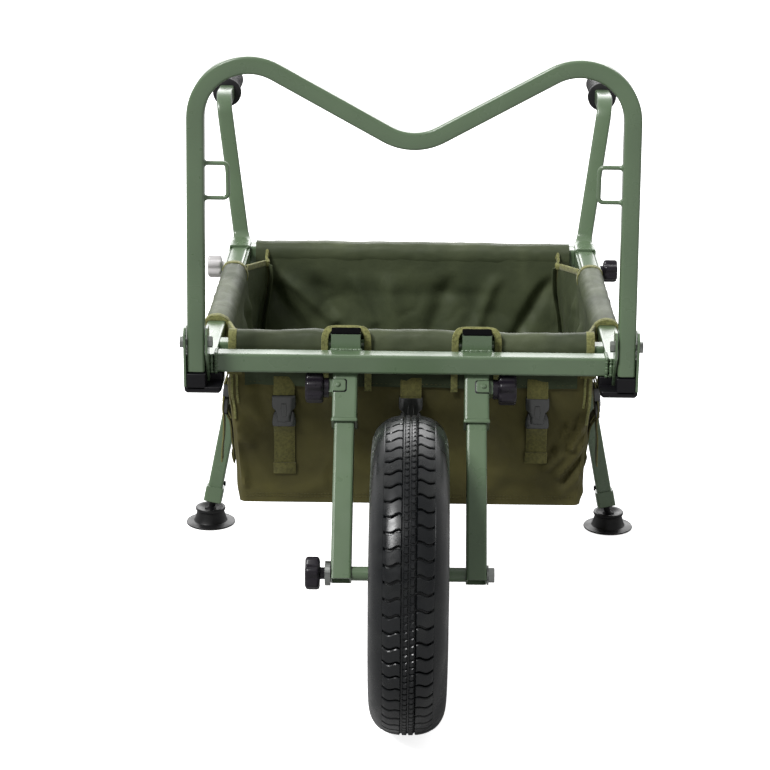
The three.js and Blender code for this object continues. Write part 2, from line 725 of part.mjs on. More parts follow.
// The inner tube is a hollow ring with its valve moulded on; the valve's bore is the way into it.
function makeInnerTube() {
  const foot = rimRadius + seatGap;
  const skinRing = (inset) => wheelRing([
    ...tyreSection(tyreWall + inset, treadThickness + inset, linerArcSteps),
    [beadHalfWidth - tyreWall - inset, foot + inset], [0, foot + inset]], wheelCoreSteps);
  const rodZ = (radius, low, high) => new THREE.CylinderGeometry(radius, radius, high - low, 12)
    .rotateX(Math.PI / 2).translate(valveX, 0, axleHeight + (low + high) / 2);
  const stemTop = rimRadius + tubePlay + tubeSkin;
  const stem = rodZ(valveRadius, stemTop - valveLength, stemTop);
  const bore = rodZ(valveRadius / 2, stemTop - valveLength - overrun, stemTop + overrun);
  add('inner_tube', 'rubber', cut(joined(skinRing(tubePlay), stem), skinRing(tubePlay + tubeSkin), bore));
}

// Two pressed rim halves, flat at the middle, dished out to the bead seat and turned up at the edge.
function makeRim() {
  const [outer, inner] = [rimWidth / 2, rimWidth / 2 - rimThickness];
  const [dish, well] = [rimRadius - rimWidth * rimDishShare, rimWidth * rimWellShare];
  for (const { name, sign } of sides) {
    const section = [[seatGap / 2, hubRadius + seatGap], [seatGap / 2, dish], [well, rimRadius],
      [inner, rimRadius], [inner, rimRadius + rimFlange], [outer, rimRadius + rimFlange],
      [outer, rimRadius - rimThickness],
      [well + rimThickness / 2, rimRadius - rimThickness], [seatGap / 2 + rimThickness, dish - rimThickness],
      [seatGap / 2 + rimThickness, hubRadius + seatGap], [seatGap / 2, hubRadius + seatGap]];
    const half = wheelTurned(section.map(([x, r]) => [sign * x, r]), wheelSteps);
    const valveHole = new THREE.CylinderGeometry(valveRadius + pinGap, valveRadius + pinGap, rimWidth, 12)
      .rotateX(Math.PI / 2).translate(valveX, 0, axleHeight + rimRadius);
    add(`rim_half_${name}`, 'steel', cut(half, valveHole));
  }
}

function makeHub() {
  const [end, seat] = [hubLength / 2, hubLength / 2 - bearingWidth - seatGap];
  const pocket = bearingRadius + pinGap;
  const land = (bearingRadius + axleRadius) / 2;
  add('hub', 'steel', wheelTurned([[end, hubRadius], [end, pocket], [seat, pocket], [seat, land],
    [-seat, land], [-seat, pocket], [-end, pocket], [-end, hubRadius], [end, hubRadius]]));
  for (const { name, sign } of sides) {
    const [back, bore] = [end - bearingWidth, axleRadius + pinGap];
    const section = [[end, bore], [end, bearingRadius], [back, bearingRadius], [back, bore], [end, bore]];
    add(`bearing_${name}`, 'zinc', wheelTurned(section.map(([x, r]) => [sign * x, r])));
  }
}

// The luggage bar's middle line: up one leg, over the shoulder, down to the valley and back.
function barX(height) {
  const share = (height - barFoot) / (barShoulderHeight - barFoot);
  return barHalfWidthFoot + (barHalfWidthTop - barHalfWidthFoot) * share;
}

function makeLuggageBar() {
  const leg = (sign) => [[sign * barHalfWidthFoot, barY, barFoot],
    [sign * barHalfWidthTop, barY, barShoulderHeight]];
  const corners = [...leg(-1), [0, barY, barValleyVertex], ...leg(1).reverse()];
  const bar = hollowTube(bentPath(corners, [barShoulderBend, barValleyBend, barShoulderBend], [0, 1, 0],
    barBendSteps), barTube, barWall);
  const hole = rodX(pivotBoltRadius + pinGap, -farOff, farOff, barY, barPivotHeight);
  const wire = roundOutline(loopWire / 2, 8);
  const loops = sides.map(({ sign }) => {
    const [low, high] = [loopMiddle - loopHeight / 2, loopMiddle + loopHeight / 2];
    const root = (height) => sign * (barX(height) - (barTube - barWall) / 2);
    const tip = sign * (barX(loopMiddle) - barTube / 2 - loopReach);
    const ends = [[root(high), barY, high], [tip, barY, high], [tip, barY, low], [root(low), barY, low]];
    const path = bentPath(ends, [loopCorner, loopCorner], [0, 1, 0], 3);
    return skinOver(path.map((station) => ringAt(station, wire)), false);
  });
  add('luggage_bar', 'green', joined(cut(bar, hole), ...loops));
}

function roundOutline(radius, steps) {
  return Array.from({ length: steps }, (_, i) => {
    const angle = 2 * Math.PI * i / steps;
    return [radius * Math.cos(angle), radius * Math.sin(angle)];
  });
}

// A flat plate square to X, from an outline of [y, z] points.
function plateX(points, x0, x1) {
  const shape = new THREE.Shape(points.map(([y, z]) => new THREE.Vector2(y, z)));
  const plate = new THREE.ExtrudeGeometry(shape, { depth: Math.abs(x1 - x0), bevelEnabled: false });
  const turn = new THREE.Matrix4().makeBasis(new THREE.Vector3(0, 1, 0), new THREE.Vector3(0, 0, 1),
    new THREE.Vector3(1, 0, 0));
  return plate.applyMatrix4(turn).translate(Math.min(x0, x1), 0, 0);
}

// Brackets for the bar: a web across the front end of the rail, a square outer plate and a tapered
// inner plate. The moulded block fills the bracket's foot and reaches in under the rail.
function makeBarBrackets() {
  const rear = railFrontY - seatGap;
  const front = barY - bracketFront;
  const web = rear - bracketWall;
  const legOuter = barHalfWidthFoot + barTube / 2 + bracketPlay;
  const legInner = barX(bracketTop) - barTube / 2 - bracketPlay;
  const [bevel, blockBottom, blockReach] = [bracketBevel, railHeight - blockDrop, railInner - blockInset];
  const hole = rodX(pivotBoltRadius + pinGap, -farOff, farOff, barY, barPivotHeight);
  for (const { name, sign } of sides) {
    const outer = plateX([[front, bracketBottom], [rear, bracketBottom], [rear, bracketTop - bevel],
      [rear - bevel, bracketTop], [front + bevel, bracketTop], [front, bracketTop - bevel]],
      sign * legOuter, sign * (legOuter + bracketWall));
    const inner = plateX([[web, bracketBottom], [rear, bracketBottom], [rear, bracketTop - bevel],
      [rear - bevel, bracketTop], [front + bevel, bracketTop], [front, bracketTop - bevel],
      [front, barPivotHeight - bracketFront]], sign * legInner, sign * (legInner - bracketWall));
    const back = sideBox(sign, [legInner - bracketWall, web, bracketBottom],
      [legOuter + bracketWall, rear, railTop]);
    add(`bar_bracket_${name}`, 'green', cut(joined(outer, inner, back), hole));

    const slabTop = bracketBottom - seatGap;
    const plate = sideBox(sign, [blockReach, front, blockBottom],
      [legOuter + bracketWall, blockRear, slabTop]);
    const pad = sideBox(sign, [legInner + seatGap, front, slabTop - overrun],
      [legOuter - seatGap, web - seatGap, barFoot - blockStop]);
    const shelf = sideBox(sign, [blockReach, railFrontY + seatGap, slabTop - overrun],
      [railX + railSize / 2, blockRear, railBottom - seatGap]);
    add(`corner_block_${name}`, 'black', joined(plate, pad, shelf));

    const [near, far] = [legInner - bracketWall - seatGap, legOuter + bracketWall + seatGap];
    add(`bar_pivot_bolt_${name}`, 'zinc', joined(
      rodX(pivotBoltRadius, sign * near, sign * (far + overrun), barY, barPivotHeight),
      rodX(pivotHeadRadius, sign * far, sign * (far + pivotHeadLength), barY, barPivotHeight, 20),
      rodX(pivotHeadRadius, sign * (near - pivotHeadLength), sign * near, barY, barPivotHeight, 6)));
  }
}

// A point along a rear leg's axis, counted from the middle of the ankle's ball.
function legPoint(sign, along) {
  const ball = new THREE.Vector3(sign * ankleX, ankleY, ankleHeight);
  const top = new THREE.Vector3(sign * legTopX, legTopY, legTopHeight);
  const point = ball.clone().addScaledVector(top.sub(ball).normalize(), along);
  return point.toArray();
}

function legLength() {
  return Math.hypot(ankleX - legTopX, ankleY - legTopY, ankleHeight - legTopHeight);
}

// A turned piece on a rear leg's axis; its profile's heights are counted from the ball.
function turnedOnLeg(sign, profile, steps) {
  const direction = new THREE.Vector3(...legPoint(sign, 1)).sub(new THREE.Vector3(...legPoint(sign, 0)));
  const turn = new THREE.Quaternion().setFromUnitVectors(new THREE.Vector3(0, 1, 0), direction);
  return turned(profile, steps).applyQuaternion(turn).translate(...legPoint(sign, 0));
}

// A square piece on a rear leg's axis between two distances from the ball: hollow with a wall, or
// solid.
function squareOnLeg(sign, from, to, size, wall) {
  const ends = [legPoint(sign, from), legPoint(sign, to)];
  if (wall) return straightTube(...ends, size, wall, [1, 0, 0]);
  const outline = squareOutline(size, tubeCorner);
  return skinOver(bentPath(ends, [], [1, 0, 0]).map((station) => ringAt(station, outline)), false);
}

// Sockets for the rear legs, each with a bracket that is welded behind the end of the rear cross tube.
function makeLegSockets() {
  const top = legLength() + legSocketAbove;
  const tubeBack = rearTubeY + railSize / 2 + seatGap;
  const [near, far] = [legBracketNear, railX - socketSize / 2 - seatGap];
  const low = legTopHeight - legSocket;
  for (const { name, sign } of sides) {
    const tube = squareOnLeg(sign, top - legSocketBelow, top, legSocket);
    const plate = sideBox(sign, [near, tubeBack, low], [far, tubeBack + legPlate, railTop]);
    const saddle = sideBox(sign, [near, tubeBack, low], [far, legTopY, legTopHeight]);
    const bore = squareOnLeg(sign, top - farOff, top + farOff, legTube + 2 * slideGap);
    add(`leg_socket_${name}`, 'green', cut(joined(tube, plate, saddle), bore));
  }
}

// The legs slide in their sockets. Each ends in a collar and a plug with a ball, held by a cross pin.
function makeRearLegs() {
  const top = legLength() + legSocketAbove;
  for (const { name, sign } of sides) {
    const pin = legPoint(sign, legBottomGap + collarLength + legPinHead);
    const pinHole = rodX(legPinRadius + pinGap, pin[0] - legTube, pin[0] + legTube, pin[1], pin[2], 12);
    const tube = squareOnLeg(sign, legBottomGap, top, legTube, legWall);
    const collar = squareOnLeg(sign, legBottomGap, legBottomGap + collarLength, collarSize,
      (collarSize - legTube + legWall) / 2);
    add(`rear_leg_${name}`, 'green', cut(joined(tube, collar), pinHole));

    const plug = squareOnLeg(sign, legBottomGap - overrun, legBottomGap + anklePlug,
      legTube - 2 * legWall - 2 * seatGap);
    const ball = turnedOnLeg(sign, [...ballProfile(-Math.PI / 2, Math.acos(ankleStem / ankleBall)),
      [ankleStem, legBottomGap], [0, legBottomGap]], 16);
    add(`ankle_${name}`, 'zinc', cut(joined(ball, plug), pinHole));

    const headX = pin[0] - sign * (legTube / 2 + seatGap + legPinHead * legSplay);
    add(`leg_pin_${name}`, 'zinc', joined(
      rodX(legPinRadius, headX - sign * overrun / 2, pin[0] + sign * legTube / 2, pin[1], pin[2], 12),
      rodX(legPinHead, headX, headX - sign * legPinRadius, pin[1], pin[2], 12)));
  }
}

// Points [radius, height] on the ankle's ball between two angles above its equator.
function ballProfile(from, to, radius = ankleBall) {
  return Array.from({ length: ballSteps + 1 }, (_, i) => {
    const angle = from + (to - from) * i / ballSteps;
    return [Math.max(radius * Math.cos(angle), 0), radius * Math.sin(angle)];
  });
}

// Mud feet: a wide disc under a cone, with a rim round the mouth and a cup that holds the ball.
function makeFeet() {
  const cup = ballProfile(Math.asin(footLipShare), -Math.PI / 2, ankleBall + seatGap)
    .map(([r, h], i) => [i === ballSteps ? 0 : r, ankleHeight + h]);
  const profile = [[0, 0], [footRadius, 0], [footRadius, footRim], [footConeRadius, footRim + footRimRise],
    [footTopRadius, footRingBottom], [footRingRadius, footRingBottom], [footRingRadius, footTop],
    [footMouth, footTop], ...cup];
  for (const { name, sign } of sides) {
    const foot = turned(profile, footSteps).rotateX(Math.PI / 2);
    add(`foot_${name}`, 'rubber', foot.translate(sign * ankleX, ankleY, 0));
  }
}

// A slab between two outlines of four corners each, such as a bag's panel.
function slab(front, back) {
  return skinOver([front, back].map((ring) => ring.map((point) => new THREE.Vector3(...point))), false);
}

function bagHalfWidth(height) {
  const share = (height - bagBottom) / (railTop - bagBottom);
  return bagBottomHalfWidth + (bagTopHalfWidth - bagBottomHalfWidth) * share;
}

function bagRearY(height) {
  const share = (height - bagBottom) / (railTop - bagBottom);
  return bagRearBottomY + (bagRearTopY - bagRearBottomY) * share;
}

// The bag: five panels with an open top and webbing straps, all sewn together. The side panels are
// cut away at their upper corners.
function makeBag() {
  const lap = cloth / 2; // how far one panel reaches into the next at a seam
  const rearIn = (height) => bagRearY(height) - cloth;
  const [frontIn, floorTop] = [bagFrontY + cloth, bagBottom + floorThickness];
  const rows = [[bagBottom, bagHalfWidth(bagBottom)], [bagNotchHeight, bagHalfWidth(bagNotchHeight)],
    [railTop, hemHalfWidth]];
  const panel = (yAt) => [...rows.map(([z, x]) => [x, yAt(z), z]),
    ...[...rows].reverse().map(([z, x]) => [-x, yAt(z), z])];
  const panels = [slab(panel(() => bagFrontY), panel(() => frontIn)), slab(panel(rearIn), panel(bagRearY))];
  for (const { sign } of sides) {
    const outline = [[frontIn - lap, bagBottom], [frontIn - lap, bagNotchHeight], [sideHemFrontY, railTop],
      [sideHemRearY, railTop], [rearIn(bagNotchHeight) + lap, bagNotchHeight],
      [rearIn(bagBottom) + lap, bagBottom]];
    const skin = (inset) => outline.map(([y, z]) => [sign * (bagHalfWidth(z) - inset), y, z]);
    panels.push(slab(skin(0), skin(cloth)));
  }
  const half = bagBottomHalfWidth - lap;
  panels.push(boxBetween([-half, frontIn - lap, bagBottom], [half, rearIn(bagBottom) + lap, floorTop]));
  add('bag', 'khaki', joined(...panels, ...strapPlaces().map((place) => (
    strapSlab(place, strapWidth, strapBottom, strapTop, -lap, strapThickness)))));
}

// Hems: cloth sleeves round the tubes that carry the bag. The front and rear ones have a flap that
// hangs outside the bag. The front one is cut out round the fork heads, the rear one round the leg
// brackets.
function makeHems() {
  const inner = railSize + 2 * seatGap;
  const along = (from, to, side) => straightTube(from, to, inner + 2 * hemSkin, hemSkin, side);
  const crosswise = (y) => along([-hemHalfWidth, y, railHeight], [hemHalfWidth, y, railHeight], [0, 1, 0]);
  const notches = sides.map(({ sign }) => {
    const half = forkHeadWidth / 2 + hemNotchMargin;
    return boxBetween([sign * forkHalfTrack - half, crossbarY, railBottom - hemOuter],
      [sign * forkHalfTrack + half, bagRailY - hemNotchLap, railTop + hemOuter]);
  });
  const [flapTop, flapLow] = [railHeight - hemOuter / 2 + hemSkin, railHeight - hemOuter / 2 - flapDrop];
  const flapEnd = hemHalfWidth - flapEndGap;
  const flap = (y, out) => boxBetween([-flapEnd, y, flapLow], [flapEnd, y + out * hemSkin, flapTop]);
  add('hem_front', 'lining', joined(cut(crosswise(bagRailY), ...notches), flap(bagRailY + hemOuter / 2, -1)));
  const rearNotches = sides.map(({ sign }) => sideBox(sign,
    [legBracketNear - hemNotchMargin, rearTubeY + railSize / 2, railBottom - hemOuter],
    [hemHalfWidth + overrun, rearTubeY + hemOuter, railTop]));
  const rearFlap = flap(rearTubeY - hemOuter / 2, 1);
  add('hem_rear', 'lining', joined(cut(crosswise(rearTubeY), ...rearNotches), rearFlap));
  for (const { name, sign } of sides) {
    add(`hem_${name}`, 'lining', along([sign * railX, sideHemFrontY, railHeight],
      [sign * railX, sideHemRearY, railHeight], [1, 0, 0]));
  }
}

// Where the webbing straps are: three on the front, three on the back, two on each side. A strap's
// face gives the point that lies so far out of its panel at a height.
function strapPlaces() {
  const pitch = bagBottomHalfWidth * strapPitchShare;
  const across = [-pitch, 0, pitch];
  return [
    ...across.map((x) => ({ face: (height, out) => [x, bagFrontY - out], along: [1, 0] })),
    ...across.map((x) => ({ face: (height, out) => [x, bagRearY(height) + out], along: [1, 0] })),
    ...sides.flatMap(({ sign }) => sideStrapYs.map((y) => (
      { face: (height, out) => [sign * (bagHalfWidth(height) + out), y], along: [0, 1] }))),
  ];
}

function strapSlab(place, width, low, high, from, to) {
  const ring = (out) => [[-1, low], [1, low], [1, high], [-1, high]].map(([side, height]) => {
    const [x, y] = place.face(height, out);
    return [x + place.along[0] * side * width / 2, y + place.along[1] * side * width / 2, height];
  });
  return slab(ring(from), ring(to));
}

// Side-release buckles on the front straps, each a wide socket with a narrower prong half under it.
function makeBuckles() {
  const names = ['left', 'middle', 'right'];
  const seam = strapTop - buckleHeight;
  const inside = strapThickness + seatGap;
  strapPlaces().slice(0, names.length).forEach((place, i) => {
    const socket = strapSlab(place, buckleWidth, seam, strapTop, inside, inside + buckleDepth);
    const prong = strapSlab(place, strapWidth, seam - prongHeight, seam + overrun, inside,
      inside + buckleDepth - strapThickness);
    add(`buckle_${names[i]}`, 'black', joined(socket, prong));
  });
}

makeRails();
makeRearCorners();
drillRails();
makeHandleKnobs();
makeHandles();
makeGrips();
makeForkHeads();
makeForkSleeves();
makeForkKnobs();
makeForkLegs();
makeAxle();
makeTyre();
makeInnerTube();
makeRim();
makeHub();
makeLuggageBar();
makeBarBrackets();
makeLegSockets();
makeRearLegs();
makeFeet();
makeBag();
makeHems();
makeBuckles();

trolley.position.y = -(gripRearY - wheelRadius) / 2;
export default trolley;
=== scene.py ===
"""Looks of a single-wheel fishing trolley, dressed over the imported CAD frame.

Sizes are written in millimetres in the row's frame: +Z up, the wheel towards -Y, the grips towards +Y,
and the ground at z = 0. MM turns them into metres when a mesh is built.
"""

import logging
import math
from dataclasses import dataclass, field
from enum import Enum
from typing import Callable, Optional, Sequence

import bmesh
import bpy
from mathutils import Matrix, Quaternion, Vector, noise

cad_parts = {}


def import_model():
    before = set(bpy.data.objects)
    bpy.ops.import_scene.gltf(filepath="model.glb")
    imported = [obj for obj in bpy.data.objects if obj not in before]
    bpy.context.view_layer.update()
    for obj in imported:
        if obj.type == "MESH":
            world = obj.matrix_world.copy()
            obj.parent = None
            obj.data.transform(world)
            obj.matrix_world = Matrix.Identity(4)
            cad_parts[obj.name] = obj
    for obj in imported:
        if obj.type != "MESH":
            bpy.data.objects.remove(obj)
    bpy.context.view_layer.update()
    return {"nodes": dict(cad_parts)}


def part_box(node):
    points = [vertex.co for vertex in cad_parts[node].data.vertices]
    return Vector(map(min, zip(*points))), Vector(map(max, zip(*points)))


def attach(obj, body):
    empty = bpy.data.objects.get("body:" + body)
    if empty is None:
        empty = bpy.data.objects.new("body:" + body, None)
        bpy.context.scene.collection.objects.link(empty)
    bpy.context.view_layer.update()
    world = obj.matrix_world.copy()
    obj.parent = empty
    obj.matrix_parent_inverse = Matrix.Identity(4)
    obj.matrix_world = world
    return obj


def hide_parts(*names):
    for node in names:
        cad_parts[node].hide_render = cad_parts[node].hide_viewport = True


MM = 0.001
LOG = logging.getLogger("trolley")
Point = tuple[float, float, float]
Flat = tuple[float, float]
Outline = Sequence[Flat]
Colour = tuple[float, float, float, float]
Socket = bpy.types.NodeSocket
SIDES = {"left": -1, "right": 1}
NOISE_RANGE = {1: 0.3, 2: 0.7}
SELVEDGE_SHARE = 0.3
WELD_MM = 0.002


# Materials


def srgb(code: str) -> Colour:
    """Turn a hex sRGB colour into the linear values that shader sockets take.

    Args:
        code: Six hex digits.

    Returns:
        Red, green, blue and alpha, linear.
    """
    values = [int(code[i : i + 2], 16) / 255 for i in (0, 2, 4)]
    linear = [v / 12.92 if v <= 0.04045 else ((v + 0.055) / 1.055) ** 2.4 for v in values]
    return (*linear, 1.0)


def shade(code: str, factor: float) -> Colour:
    """Return a hex colour made darker or lighter by a factor, linear."""
    r, g, b, a = srgb(code)
    return (min(r * factor, 1.0), min(g * factor, 1.0), min(b * factor, 1.0), a)


class Tree:
    """A node tree, and the one way in which nodes are added to it."""

    def __init__(self, data: bpy.types.NodeTree, prefix: str = "") -> None:
        """Work on a node tree whose nodes' type names start with prefix."""
        self.data = data
        self.prefix = prefix

    def add(self, kind: str, links: Optional[dict] = None, **settings: object) -> bpy.types.Node:
        """Add a node.

        Args:
            kind: The node's type name without the prefix.
            links: Input's name or index to a value or another node's output.
            settings: Attributes of the node.

        Returns:
            The node.
        """
        made = self.data.nodes.new(self.prefix + kind)
        for key, value in settings.items():
            setattr(made, key, value)
        for key, value in (links or {}).items():
            if isinstance(value, Socket):
                self.data.links.new(value, made.inputs[key])
            else:
                made.inputs[key].default_value = value
        return made


def per(size_mm: float) -> float:
    """Scale of a noise whose blobs are about size_mm across."""
    return 1 / (size_mm * MM)


def bands(pitch_mm: float) -> float:
    """Scale of a wave texture whose bands have a real pitch."""
    return math.pi / 10 / (pitch_mm * MM)


@dataclass(frozen=True)
class Finish:
    """A named finish of one main colour; each kind of finish adds its own nodes."""

    name: str
    colour: str

    def nodes(self, tree: Tree) -> dict[str, object]:
        """Add the finish's nodes and return what the Principled shader takes."""
        raise NotImplementedError

    def build(self) -> bpy.types.Material:
        """Return the material."""
        material = bpy.data.materials.new(self.name)
        material.use_nodes = True
        material.node_tree.nodes.clear()
        tree = Tree(material.node_tree, "ShaderNode")
        shader = tree.add("BsdfPrincipled", self.nodes(tree))
        tree.add("OutputMaterial", {"Surface": shader.outputs[0]})
        return material


@dataclass(frozen=True)
class PowderCoat(Finish):
    """Satin powder coat: an even colour with orange peel that breaks up the highlights."""

    roughness: float = 0.36
    peel_mm: float = 1.1
    peel_depth_mm: float = 0.03
    edge_mm: float = 1.3
    cloud_mm: float = 90
    satin_mm: float = 25
    rough_play: Flat = (-0.05, 0.06)
    coat: float = 0.55
    coat_roughness: float = 0.2

    def nodes(self, tree: Tree) -> dict[str, object]:
        """Clouded colour, patches of more and less satin, worn-round edges and orange peel."""
        at = tree.add("TexCoord").outputs["Object"]
        cloud, satin, peel = (
            tree.add("TexNoise", {"Vector": at, "Scale": per(size), "Detail": detail}).outputs["Fac"]
            for size, detail in ((self.cloud_mm, 2), (self.satin_mm, 3), (self.peel_mm, 1)))
        cloud = tree.add("MapRange", {0: cloud, 1: 0.35, 2: 0.65}).outputs[0]
        dark, light = shade(self.colour, 0.93), shade(self.colour, 1.07)
        colour = tree.add("Mix", {0: cloud, 6: dark, 7: light}, data_type="RGBA").outputs[2]
        low, high = (self.roughness + play for play in self.rough_play)
        rough = tree.add("MapRange", {0: satin, **NOISE_RANGE, 3: low, 4: high}).outputs[0]
        edge = tree.add("Bevel", {"Radius": self.edge_mm * MM}, samples=4).outputs[0]
        relief = {"Height": peel, "Distance": self.peel_depth_mm * MM, "Strength": 0.35, "Normal": edge}
        return {"Base Color": colour, "Roughness": rough, "Normal": tree.add("Bump", relief).outputs[0],
                "Coat Weight": self.coat, "Coat Roughness": self.coat_roughness}


@dataclass(frozen=True)
class Metal(Finish):
    """Plated steel with fine brushing and slightly dull patches."""

    roughness: float = 0.3
    dull_mm: float = 6
    brush_mm: float = 0.5
    brush_depth_mm: float = 0.02
    rough_play: float = 0.18

    def nodes(self, tree: Tree) -> dict[str, object]:
        """Dull patches, darker and rougher, under a fine brushing."""
        at = tree.add("TexCoord").outputs["Object"]
        dull, brush = (
            tree.add("TexNoise", {"Vector": at, "Scale": per(size), "Detail": detail}).outputs["Fac"]
            for size, detail in ((self.dull_mm, 4), (self.brush_mm, 2)))
        dark, light = shade(self.colour, 0.8), srgb(self.colour)
        colour = tree.add("Mix", {0: dull, 6: dark, 7: light}, data_type="RGBA").outputs[2]
        rough = {0: dull, **NOISE_RANGE, 3: self.roughness, 4: self.roughness + self.rough_play}
        relief = {"Height": brush, "Distance": self.brush_depth_mm * MM, "Strength": 0.4}
        return {"Base Color": colour, "Roughness": tree.add("MapRange", rough).outputs[0], "Metallic": 1.0,
                "Normal": tree.add("Bump", relief).outputs[0]}


@dataclass(frozen=True)
class Moulded(Finish):
    """Moulded plastic or rubber: a fine spark-eroded grain, worn a little smoother in places."""

    roughness: float = 0.5
    grain_mm: float = 0.5
    grain_depth_mm: float = 0.03
    dust: float = 0.0
    gloss: float = 0.5
    patch_mm: float = 18
    rough_play: float = 0.08
    dust_mm: float = 35
    dust_colour: str = "77786F"

    def nodes(self, tree: Tree) -> dict[str, object]:
        """Worn patches, a film of dust where there is any, and the grain."""
        at = tree.add("TexCoord").outputs["Object"]
        patch, grain = (
            tree.add("TexNoise", {"Vector": at, "Scale": per(size), "Detail": detail}).outputs["Fac"]
            for size, detail in ((self.patch_mm, 3), (self.grain_mm, 2)))
        dark, light = shade(self.colour, 0.85), shade(self.colour, 1.2)
        colour = tree.add("Mix", {0: patch, 6: dark, 7: light}, data_type="RGBA").outputs[2]
        if self.dust:
            film = tree.add("TexNoise", {"Vector": at, "Scale": per(self.dust_mm), "Detail": 5})
            film = tree.add("MapRange", {0: film.outputs["Fac"], 1: 0.5, 2: 0.75, 4: self.dust}).outputs[0]
            layers = {0: film, 6: colour, 7: srgb(self.dust_colour)}
            colour = tree.add("Mix", layers, data_type="RGBA").outputs[2]
        low, high = self.roughness - self.rough_play, self.roughness + self.rough_play
        rough = tree.add("MapRange", {0: patch, **NOISE_RANGE, 3: low, 4: high}).outputs[0]
        relief = {"Height": grain, "Distance": self.grain_depth_mm * MM, "Strength": 0.6}
        return {"Base Color": colour, "Roughness": rough, "Normal": tree.add("Bump", relief).outputs[0],
                "Specular IOR Level": self.gloss}


@dataclass(frozen=True)
class Cloth(Finish):
    """Plain-woven coated cloth: crossed threads, soft crumples, and a sheen where it is stretched."""

    shadow: str
    roughness: float = 0.75
    thread_mm: float = 0.7
    crumple_depth_mm: float = 0.9
    sheen: float = 0.15
    gloss: float = 0.5
    patch_mm: float = 70
    crumple_mm: float = 38
    ripple_mm: float = 9
    ripple_depth_mm: float = 0.12
    weave_depth_mm: float = 0.08
    rough_play: float = 0.06

    def nodes(self, tree: Tree) -> dict[str, object]:
        """Patches of two shades, with painted shade between the threads, over crumples, ripples and the
        weave.
        """
        coord = tree.add("TexCoord").outputs
        warp, weft = (
            tree.add("TexWave", {"Vector": coord["UV"], "Scale": bands(self.thread_mm)}, bands_direction=way,
                     wave_profile="SIN").outputs["Fac"] for way in ("X", "Y"))
        weave = tree.add("Math", {0: warp, 1: weft}, operation="MAXIMUM").outputs[0]
        patch, crumple, ripple = (
            tree.add("TexNoise", {"Vector": coord["Object"], "Scale": per(size), "Detail": detail,
                                  "Distortion": distortion}).outputs["Fac"]
            for size, detail, distortion in ((self.patch_mm, 4, 0.4), (self.crumple_mm, 5, 0.8),
                                             (self.ripple_mm, 3, 0.0)))
        patch = tree.add("MapRange", {0: patch, **NOISE_RANGE}).outputs[0]
        # painted shade: the weave's waves darken the colour up to a quarter of the way to a darker tone,
        # standing in for shade between the threads
        painted_weave_shade = tree.add("Math", {0: weave, 1: 0.25}, operation="MULTIPLY").outputs[0]
        colour = srgb(self.shadow)
        for share, over in ((patch, srgb(self.colour)), (painted_weave_shade, shade(self.colour, 0.6))):
            colour = tree.add("Mix", {0: share, 6: colour, 7: over}, data_type="RGBA").outputs[2]
        under = {}
        layers = ((crumple, self.crumple_depth_mm, 0.55), (ripple, self.ripple_depth_mm, 0.5),
                  (weave, self.weave_depth_mm, 0.5))
        for height, depth_mm, strength in layers:
            relief = {"Height": height, "Distance": depth_mm * MM, "Strength": strength, **under}
            under = {"Normal": tree.add("Bump", relief).outputs[0]}
        low, high = self.roughness - self.rough_play, self.roughness + self.rough_play
        rough = tree.add("MapRange", {0: crumple, **NOISE_RANGE, 3: low, 4: high}).outputs[0]
        return {"Base Color": colour, "Roughness": rough, **under, "Sheen Weight": self.sheen,
                "Sheen Roughness": 0.45, "Specular IOR Level": self.gloss}


